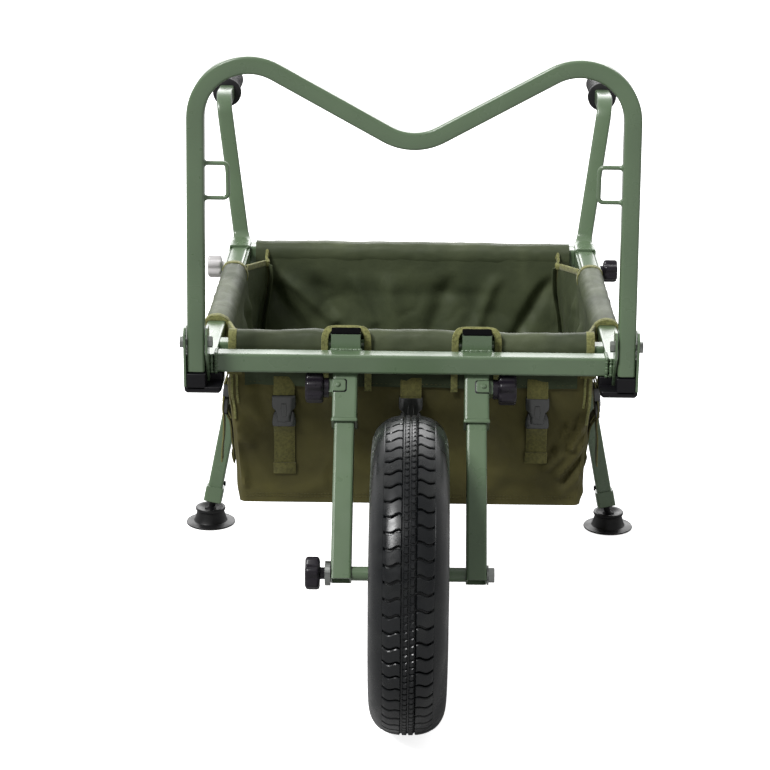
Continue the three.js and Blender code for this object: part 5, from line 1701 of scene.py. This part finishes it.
@dataclass
class Straps:
    """Webbing straps sewn to the bag, with side-release buckles and loose ends.

    The upper, lower, sewn and patch runs are (height, distance off the panel) places, their heights counted
    from the strap's top, the buckle's lower bar or the strap's lower end.
    """

    bag: Bag
    pitch: float = 167.9
    width: float = 28
    thick: float = 1.8
    top: float = 387
    bottom: float = 260
    middle: float = 347.5
    doubled_up: float = 19
    side_ys: Flat = (-138, 145)
    upper: Outline = ((4, 1.2), (-6, 2.5), (-14, 5), (-19, 7.6), (-22, 6.4), (-20, 3.8), (-10, 0.9))
    lower: Outline = ((-8, 0.9), (-1, 3.4), (4, 5.6), (2.5, 7.4), (-4, 6.2), (-12, 2.8), (-21, 1.7))
    sewn: Outline = ((34, 1.3), (24, 1.3), (15, 1.2), (7, 1.2), (0, 1.0))
    patch: Outline = ((11, 2.9), (5, 2.8), (-5, 0.8))
    socket: Outline = ((0, -17), (8.6, -16), (9.4, -8), (11.2, -1), (15.2, 3), (16, 7), (16, 17), (15, 20),
                       (0, 20))
    prongs: Outline = ((0, -23), (13.5, -23), (15.6, -21), (16, -17), (15.6, -13), (14.6, -7), (12.4, -2),
                       (0, -2))
    ridge: Outline = ((3.2, -9), (4.4, 0), (3.4, 9), (-3.4, 9), (-4.4, 0), (-3.2, -9))
    bars: Flat = (17.2, -20.4)
    bar_half: float = 14.4
    bar_radius: float = 1.9
    bar_depth: float = 5.4
    lean: float = -5
    skew: float = 2.5
    loose: Sequence[Point] = ((-2, 352, 9), (-5, 334, 12), (-9, 316, 12), (-12, 296, 14), (-14, 276, 18),
                              (-15, 260, 19))
    loose_width: float = 24

    def places(self) -> list[tuple[str, float]]:
        """Every strap as a panel and a place across it."""
        made = [(side, x) for side in ("front", "rear") for x in (-self.pitch, 0, self.pitch)]
        return made + [(side, y) for side in SIDES for y in self.side_ys]

    def end(self, side: str, across: float) -> float:
        """Height of a strap's lower end; the front right one is doubled up."""
        return self.bottom + (self.doubled_up if side == "front" and across > 0 else 0)

    def facing(self, side: str) -> Point:
        """Outward direction of a panel."""
        return {"front": (0, -1, 0), "rear": (0, 1, 0), "left": (-1, 0, 0), "right": (1, 0, 0)}[side]

    def run(self, side: str, across: float, spots: Outline, width: float) -> Shape:
        """Webbing that follows a panel through (height, distance off it) places."""
        half, points = width / 2 - 2, []
        for height, out in spots:
            steps = (-half, -half / 2, 0, half / 2, half)
            ridge = max(self.bag.lift(side, across + step, height) for step in steps)
            off = out + ridge - self.bag.lift(side, across, height)
            points.append(tuple(self.bag.skin(side, across, height, off)))
        return ribbon(points, [self.facing(side)] * len(points), width, self.thick, 4)

    def strap(self, side: str, across: float) -> Shape:
        """Upper loop, lower run and its folded end."""
        bar, bottom = self.middle + self.bars[1], self.end(side, across)
        upper, lower, sewn, patch = (
            [(base + rise, out) for rise, out in spots] for base, spots in
            ((self.top, self.upper), (bar, self.lower), (bottom, self.sewn), (bottom, self.patch)))
        shape = Shape()
        for spots, width in ((upper, self.width), (lower + sewn, self.width), (patch, self.width + 2)):
            shape.add(self.run(side, across, spots, width))
        return shape

    def plate(self, outline: Outline, levels: Outline) -> Shape:
        """A flat moulding: its (across, up) outline drawn in at each (inset, depth) level."""
        return loft([[Vector((a, -d, h)) for a, h in offset(outline, -inset)] for inset, d in levels])

    def buckle(self, side: str, across: float) -> Shape:
        """A side-release buckle: the prong half slides up into the waisted socket half."""
        shape = Shape()
        for half, deep, low in ((self.socket, 9, 0.6), (self.prongs, 7.4, 1.2)):
            outline = [*half] + [(-a, h) for a, h in half[-2:0:-1]]
            levels = ((0.9, low), (0, low + 1), (0, deep - 1.6), (0.7, deep - 0.5), (1.8, deep))
            shape.add(self.plate(outline, levels))
        shape.add(self.plate(self.ridge, ((0, 8), (0.2, 9.4), (1, 10.2))))
        for height in self.bars:
            bar = [Vector((0, a, b + height)) for a, b in circle(self.bar_radius, 12)]
            ends = (-self.bar_half, self.bar_half)
            shape.add(loft([[p + Vector((x, -self.bar_depth, 0)) for p in bar] for x in ends]))
        under = max(self.bag.lift(side, across + a, self.middle + h)
                    for a in (-14, -7, 0, 7, 14) for h in (-20, -10, 0, 10, 20))
        off = self.thick + under - self.bag.lift(side, across, self.middle)
        middle = Matrix.Translation(self.bag.skin(side, across, self.middle, off))
        turn = {"front": 0, "rear": math.pi, "left": -math.pi / 2, "right": math.pi / 2}[side]
        skew = math.radians(self.skew * wobble(across, 4, 2, 7))
        lean = Matrix.Rotation(math.radians(self.lean), 4, "X") @ Matrix.Rotation(skew, 4, "Y")
        return shape.moved(middle @ Matrix.Rotation(turn, 4, "Z") @ lean)

    def tail(self, side: str) -> Shape:
        """The loose end of a side strap, which hangs away from the bag."""
        y = self.side_ys[0]
        points = [tuple(self.bag.skin(side, y + shift, height, out)) for shift, height, out in self.loose]
        return ribbon(points, [self.facing(side)] * len(points), self.loose_width, self.thick, 5)

    def dress(self) -> None:
        """Build the webbing, the buckles and the loose ends."""
        webbing, others = Shape(), Shape()
        for side, across in self.places():
            webbing.add(self.strap(side, across))
        for side in SIDES:
            webbing.add(self.tail(side))
        build("strap_webbing_set", webbing, [Look.WEBBING], "frame", (), 50)
        for name, x in (("buckle_left", -self.pitch), ("buckle_middle", 0), ("buckle_right", self.pitch)):
            build(f"{name}_moulded", self.buckle("front", x), [Look.BUCKLE], "frame", [name], 30)
        for side, across in self.places()[3:]:
            others.add(self.buckle(side, across))
        build("buckles_sides_and_rear", others, [Look.BUCKLE], "frame", (), 30)


@dataclass
class Rim:
    """The pressed rim halves, the hub and the bearings, turned finer than the CAD has them."""

    axle: Point = (0, -400, 200)
    seat: float = 101
    flange: float = 11
    half_width: float = 31
    sheet: float = 2.5
    dish: float = 15.5
    well: float = 12.4
    hub_radius: float = 21
    hub_half: float = 37
    bolts: int = 6
    bolt_circle: float = 52

    def half(self, sign: int) -> Shape:
        """One pressed half: flat web, dish, bead seat and rolled edge."""
        dish, well, w, s = self.seat - self.dish, self.well, self.half_width, self.sheet
        seat, inner, top = self.seat, w - s, self.seat + self.flange
        section = [(0.15, self.hub_radius + 0.3), (0.15, dish - 2), (1.2, dish + 1.2),
                   (well - 1.5, seat - 0.8), (well, seat), (inner - 0.6, seat), (inner, seat + 0.6),
                   (inner, top - 0.8), (inner + 0.8, top), (w - 0.8, top), (w, top - 0.8), (w, seat - s + 1),
                   (w - 1, seat - s), (well + s / 2, seat - s), (well, seat - s - 0.4),
                   (s + 0.6, dish - s + 0.4), (s + 0.15, dish - s - 1), (s + 0.15, self.hub_radius + 0.3)]
        return round_axle([(sign * x, r) for x, r in section], 96, self.axle)

    def rim_bolts(self, sign: int) -> Shape:
        """Hexagon heads on washers that clamp the halves."""
        shape, reach = Shape(), self.bolt_circle
        for k in range(self.bolts):
            angle = 2 * math.pi * (k + 0.5) / self.bolts
            off = Vector((sign * (self.sheet + 0.15), reach * math.sin(angle), reach * math.cos(angle)))
            bolt = turned([(0, -0.5), (8.4, -0.5), (8.4, 0.8), (7.6, 1.2), (0, 1.2)], 28)
            bolt.add(turned([(0, 1), (6, 1), (6.4, 1.4), (6.4, 4.6), (5.6, 5.4), (0, 5.4)], 6))
            shape.add(bolt.moved(Matrix.Translation(Vector(self.axle) + off) @ along_x(sign)))
        return shape

    def dress(self) -> None:
        """Build the rim halves, hub and bearings."""
        e, r = self.hub_half, self.hub_radius
        bearing = [(e, 6.3), (e, 9.5), (e - 0.8, 10.2), (e - 0.8, 12.6), (e, 13.2), (e, 16), (e - 10, 16),
                   (e - 10, 6.3)]
        hub = [(e, r - 1), (e, 16.3), (e - 10.3, 16.3), (e - 10.3, 11), (-e + 10.3, 11), (-e + 10.3, 16.3),
               (-e, 16.3), (-e, r - 1), (-e + 1, r), (e - 1, r)]
        for side, sign in SIDES.items():
            ring = round_axle([(sign * x, r) for x, r in bearing], 48, self.axle)
            build(f"rim_{side}_pressed", self.half(sign), [Look.RIM], "wheel", [f"rim_half_{side}"], 30)
            build(f"rim_bolts_{side}", self.rim_bolts(sign), [Look.ZINC], "wheel", (), 30)
            build(f"bearing_{side}_ring", ring, [Look.ZINC], "wheel", [f"bearing_{side}"], 30)
        build("hub_turned", round_axle(hub, 64, self.axle), [Look.RIM], "wheel", ["hub"], 30)


@dataclass
class ForkSleeves:
    """What the fork sleeves and heads carry: a rolled lower rim, the clamp's tongue and a black end plug."""

    track: float = 85
    axle: Flat = (-400, 200)
    head_y: float = -224.75
    rail_z: float = 432
    size: float = 32
    foot: float = 357
    fit: float = 0.3
    corners: Flat = (2.2, 2.4)
    rolled: Outline = ((0.2, 5.2), (1.0, 4.6), (1.6, 3.2), (1.8, 1.6), (1.4, 0.2), (0.4, -0.4))
    tongue: Flat = (17, 15)
    clamp_height: float = 395.25
    plug: Outline = ((1, 0.1), (0, 0.4), (0, 1.4), (0.5, 2.0), (2.4, 2.4))

    def slant(self) -> float:
        """Lean of the fork from upright."""
        return math.atan((self.head_y - self.axle[0]) / (self.rail_z - self.axle[1]))

    def frame(self, sign: int, height: float) -> Matrix:
        """Place on a sleeve's axis: X across, Y out of its back face, Z up along it."""
        y = self.axle[0] + (height - self.axle[1]) * math.tan(self.slant())
        return Matrix.Translation((sign * self.track, y, height)) @ Matrix.Rotation(-self.slant(), 4, "X")

    def rim(self) -> Shape:
        """Rolled rim round the sleeve's lower end."""
        inner, outer = self.corners
        levels = [(squircle(self.size + self.fit + grow, outer), height) for grow, height in self.rolled]
        levels += [(squircle(self.size + self.fit, inner), self.rolled[k][1]) for k in (-1, 0)]
        rings = [[Vector((a, b, height)) for a, b in outline] for outline, height in levels]
        return loft(rings + [rings[0]], (False, False))

    def clamp(self, sign: int) -> Shape:
        """The clamp's tongue on the front face, with a black sheet round it for painted shade in the slit,
        and its rivet.
        """
        (wide, high), shape = self.tongue, Shape()
        face, edge, up = -self.size / 2, sign * self.size / 2, high / 2
        outline = [(edge - sign * back, z) for back, z in
                   ((0.6, up), (wide - 2, up), (wide, up - 2), (wide, 2 - up), (wide - 2, -up), (0.6, -up))]
        # the first pass is a thin black nylon sheet a little larger than the tongue, laid on the sleeve's
        # face: painted shade standing in for the slit round the tongue
        for grow, near, far, look in ((1.5, 0.0, 0.35, 1), (0, 0.2, 1.5, 0)):
            rings = []
            for inset, deep in ((0, near), (0, far - 0.4), (0.5, far)):
                reach = grow - inset
                rings.append([Vector((x - sign * reach * (abs(x - edge) > 2), face - deep,
                                      z + math.copysign(reach, z))) for x, z in outline])
            shape.add(loft(rings).looking(look))
        rivet = turned([(0, 0), (3.2, 0), (3.1, 1.2), (2.2, 2.2), (0, 2.5)], 20)
        place = Matrix.Translation((edge - sign * 7, face - 1.3, 0.5)) @ Matrix.Rotation(math.pi / 2, 4, "X")
        return shape.add(rivet.moved(place))

    def head_plug(self, side: str) -> Shape:
        """The cap over a fork head's open top."""
        low, high = (Vector(corner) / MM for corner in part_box(f"fork_head_{side}"))
        middle, size = (low + high) / 2, high - low
        return loft([[Vector((middle.x + a, middle.y + b, high.z + rise)) for a, b in
                      squircle(size.x - 2 * inset, self.corners[0], 3, size.y - 2 * inset)]
                     for inset, rise in self.plug])

    def dress(self) -> None:
        """Build the rims, clamps and plugs."""
        for side, sign in SIDES.items():
            rim = self.rim().moved(self.frame(sign, self.foot) @ Matrix.Translation((0, 0, -0.4)))
            clamp = self.clamp(sign).moved(self.frame(sign, self.clamp_height))
            # the clamp's black sheet round the tongue is painted shade for the slit
            build(f"sleeve_clamp_{side}", rim.add(clamp), [Look.PAINT, Look.BLOCK], "frame", (), 32)
            build(f"head_plug_{side}", self.head_plug(side), [Look.PLUG], "frame", (), 40)


@dataclass
class Stitches:
    """Seam stitches, laid as rows of short thread loops with Geometry Nodes."""

    bag: Bag
    straps: Straps
    pitch: float = 4.6
    length: float = 3.2
    thread: float = 0.75
    follow: float = 18
    box: Flat = (2, 30)
    box_off: float = 3.3
    seams: Sequence[tuple[str, float, float]] = (
        ("front", -222, 222), ("rear", -222, 222), ("left", -160, 262), ("right", -160, 262))
    seam_heights: Flat = (9, 13)
    seam_off: float = 0.25
    flap_seam: Point = (216, 383, 3.4)
    unevenness: float = 0.06
    seed: int = 3

    def row(self, points: Sequence[Point]) -> list[tuple[Vector, Vector]]:
        """Evenly spaced places with directions along a line."""
        made = []
        for a, b in zip(points, points[1:]):
            a, b = Vector(a), Vector(b)
            count = max(int((b - a).length / self.pitch), 1)
            made += [(a.lerp(b, (k + 0.5) / count), (b - a).normalized()) for k in range(count)]
        return made

    def on_panel(self, side: str, spots: Outline, out: float) -> list[tuple[Vector, Vector]]:
        """A row on a panel through (across, height) places."""
        line = []
        for (a, h), (b, k) in zip(spots, spots[1:]):
            count = max(int(math.hypot(b - a, k - h) / self.follow), 1)
            line += [tuple(self.bag.skin(side, a + (b - a) * i / count, h + (k - h) * i / count, out))
                     for i in range(count)]
        line.append(tuple(self.bag.skin(side, *spots[-1], out)))
        return self.row(line)

    def places(self) -> list[tuple[Vector, Vector]]:
        """Every stitch: a crossed box on each strap's end, the floor's seams and the flaps' seams."""
        made = []
        for side, across in self.straps.places():
            half, low = self.straps.width / 2 - 3, self.straps.end(side, across)
            near, far, foot, head = across - half, across + half, low + self.box[0], low + self.box[1]
            box = [(near, foot), (far, foot), (far, head), (near, head), (near, foot), (far, head)]
            made += self.on_panel(side, box, self.box_off)
            made += self.on_panel(side, [(far, foot), (near, head)], self.box_off)
        for side, low, high in self.seams:
            for height in (self.bag.floor + rise for rise in self.seam_heights):
                made += self.on_panel(side, [(low, height), (high, height)], self.seam_off)
        reach, height, out = self.flap_seam
        for side in ("front", "rear"):
            made += self.on_panel(side, [(-reach, height), (reach, height)], out)
        return made

    def dress(self) -> None:
        """Sew the rows."""
        half, r = self.length / 2, self.thread / 2
        unit = turned([(0, -half), (r * 0.8, -half + 0.3), (r, -half + 0.9), (r, half - 0.9),
                       (r * 0.8, half - 0.3), (0, half)], 5)
        at, ways = zip(*self.places())
        shape = scattered_copies("stitch_rows", unit, at, self.unevenness, self.seed, Look.PAINT, ways)
        build("bag_stitches", shape, [Look.THREAD], "frame", (), 60)


@dataclass
class Welds:
    """Weld beads, each a row of overlapping puddles laid along a joint with Geometry Nodes."""

    puddle: float = 2.3
    pitch: float = 1.7
    rail: Point = (251, -263, -238)
    rail_heights: Flat = (421, 443)
    rail_faces: Flat = (444.3, 419.8)
    head: Flat = (85, -237.8)
    head_half: float = 19
    head_heights: Flat = (420, 444)
    head_beads: Sequence[Point] = ((18, -237.8, 444.6), (15, -237.9, 419.4))
    uprights: Sequence[tuple[float, float, float, float]] = (
        (256.5, -263.3, 421, 443), (251.5, 286.9, 420, 444), (217, 316, 420, 444))
    unevenness: float = 0.25
    seed: int = 7

    def lines(self) -> list[tuple[Point, Point]]:
        """Start and end of every bead: rail ends, fork heads, brackets and rear corners."""
        made: list[tuple[Point, Point]] = []
        for sign in SIDES.values():
            x, middle = sign * self.rail[0], sign * self.head[0]
            front, back = self.rail[1:]
            (foot, top), (low, high) = self.rail_heights, self.head_heights
            made += [((x, y, foot), (x, y, top)) for y in (front, back)]
            made += [((x, front + 1, z), (x, back - 1, z)) for z in self.rail_faces]
            edges = (middle - self.head_half, middle + self.head_half)
            made += [((edge, self.head[1], low), (edge, self.head[1], high)) for edge in edges]
            made += [((middle - half, y, z), (middle + half, y, z)) for half, y, z in self.head_beads]
            made += [((sign * a, y, low), (sign * a, y, high)) for a, y, low, high in self.uprights]
        return made

    def dress(self) -> None:
        """Lay the beads."""
        places = []
        for a, b in self.lines():
            a, b = Vector(a), Vector(b)
            count = max(int((b - a).length / self.pitch), 2)
            places += [a.lerp(b, k / count) for k in range(count + 1)]
        levels = ((0, -0.8), (0.75, -0.55), (1, 0), (0.75, 0.55), (0, 0.8))
        unit = turned([(self.puddle * r, self.puddle * h) for r, h in levels], 8)
        shape = scattered_copies("weld_puddles", unit, places, self.unevenness, self.seed, Look.PAINT)
        build("weld_beads", shape, [Look.PAINT], "frame", (), 60)


KEPT = {
    Look.PAINT: ("side_rail", "front_crossbar", "front_bag_rail", "rear_cross_tube", "rear_corner",
                 "fork_head", "fork_sleeve", "fork_leg", "bar_bracket", "leg_socket", "rear_leg",
                 "axle_spacer"),
    Look.ZINC: ("bar_pivot_bolt", "axle_bolt", "axle_flange_washer", "axle_nut", "axle_tooth_washer"),
    Look.BLOCK: ("ankle", "leg_pin"),
    Look.TUBE: ("inner_tube",),
}


def paint_kept_nodes(nodes: dict[str, bpy.types.Object]) -> None:
    """Give the CAD nodes that stay their finish."""
    for look, stems in KEPT.items():
        for name, node in nodes.items():
            if name.startswith(stems):
                node.data.materials.clear()
                node.data.materials.append(look.material())
                LOG.info("%s: %s", name, look.name)


# Stage


@dataclass(frozen=True)
class Studio:
    """A pale sweep under wide soft lights: white to the camera, dimmer to the trolley to keep its darks."""

    reach: float = 30.0
    card: Card = Card("studio_floor", "FFFFFF")
    front_ambient: float = 0.3
    back_ambient: float = 1.1
    sweep: Flat = (-0.3, 0.85)
    suns: tuple[tuple[str, Point, float, float], ...] = (
        ("key", (-0.48, -0.45, 0.76), 2.6, 20), ("back", (0.0, 0.87, 0.50), 1.35, 50))

    def floor(self) -> None:
        """Lay the floor."""
        mesh = bpy.data.meshes.new("studio_floor")
        r = self.reach
        mesh.from_pydata([(-r, -r, 0), (r, -r, 0), (r, r, 0), (-r, r, 0)], [], [(0, 1, 2, 3)])
        mesh.materials.append(self.card.build())
        made = bpy.data.objects.new("studio_floor", mesh)
        bpy.context.scene.collection.objects.link(made)

    def light(self) -> None:
        """Set the surroundings and the lights."""
        scene = bpy.context.scene
        scene.view_settings.view_transform = "Standard"
        world = bpy.data.worlds.new("studio")
        scene.world = world
        world.use_nodes = True
        tree = Tree(world.node_tree, "ShaderNode")
        along = tree.add("SeparateXYZ", {0: tree.add("TexCoord").outputs["Generated"]}).outputs["Y"]
        sweep = tree.add("MapRange", {0: along, 1: self.sweep[0], 2: self.sweep[1], 3: self.front_ambient,
                                      4: self.back_ambient}).outputs[0]
        seen = tree.add("LightPath").outputs["Is Camera Ray"]
        power = tree.add("Mix", {"Factor": seen, "A": sweep, "B": 1.0}).outputs[0]
        background = tree.data.nodes["Background"].inputs
        background["Color"].default_value = (1, 1, 1, 1)
        tree.data.links.new(power, background["Strength"])
        for name, way, power, spread in self.suns:
            light = bpy.data.lights.new(name, "SUN")
            light.energy, light.angle = power, math.radians(spread)
            lamp = bpy.data.objects.new(name, light)
            lamp.rotation_euler = Vector(way).to_track_quat("Z", "Y").to_euler()
            scene.collection.objects.link(lamp)

    def dress(self) -> None:
        """Make the floor, the light and the surroundings."""
        self.floor()
        self.light()


@dataclass(frozen=True)
class PhotoCamera:
    """The photograph's view: from in front of the wheel, a little above the bar, looking down."""

    place: Point = (0, -2.923, 1.270)
    down: float = 18
    roll: float = 0.7
    lens: float = 101.5
    sensor: float = 36
    shift: float = -26 / 770
    clip: float = 60

    def dress(self) -> None:
        """Set up the camera."""
        camera = bpy.data.cameras.new("camera")
        camera.sensor_width, camera.lens = self.sensor, self.lens
        camera.shift_x, camera.clip_end = self.shift, self.clip
        made = bpy.data.objects.new("camera", camera)
        made.location = self.place
        tilt = Matrix.Rotation(math.radians(90 - self.down), 4, "X")
        made.rotation_euler = (tilt @ Matrix.Rotation(math.radians(self.roll), 4, "Z")).to_euler()
        bpy.context.scene.collection.objects.link(made)
        bpy.context.scene.camera = made


def main() -> None:
    """Dress the trolley, one sub-assembly after another."""
    logging.basicConfig(level=logging.INFO, format="%(message)s")
    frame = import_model()
    PhotoCamera().dress()
    Studio().dress()
    paint_kept_nodes(frame["nodes"])
    bag = Bag()
    straps = Straps(bag)
    parts = [Wheel(), Rim(), LuggageBar(), Handles(), *knobs(), Feet(), CornerBlocks(), ForkSleeves(),
             Welds(), bag, *hems(), HemTrim(bag), straps, Stitches(bag, straps)]
    for part in parts:
        part.dress()


if __name__ == "__main__":
    main()
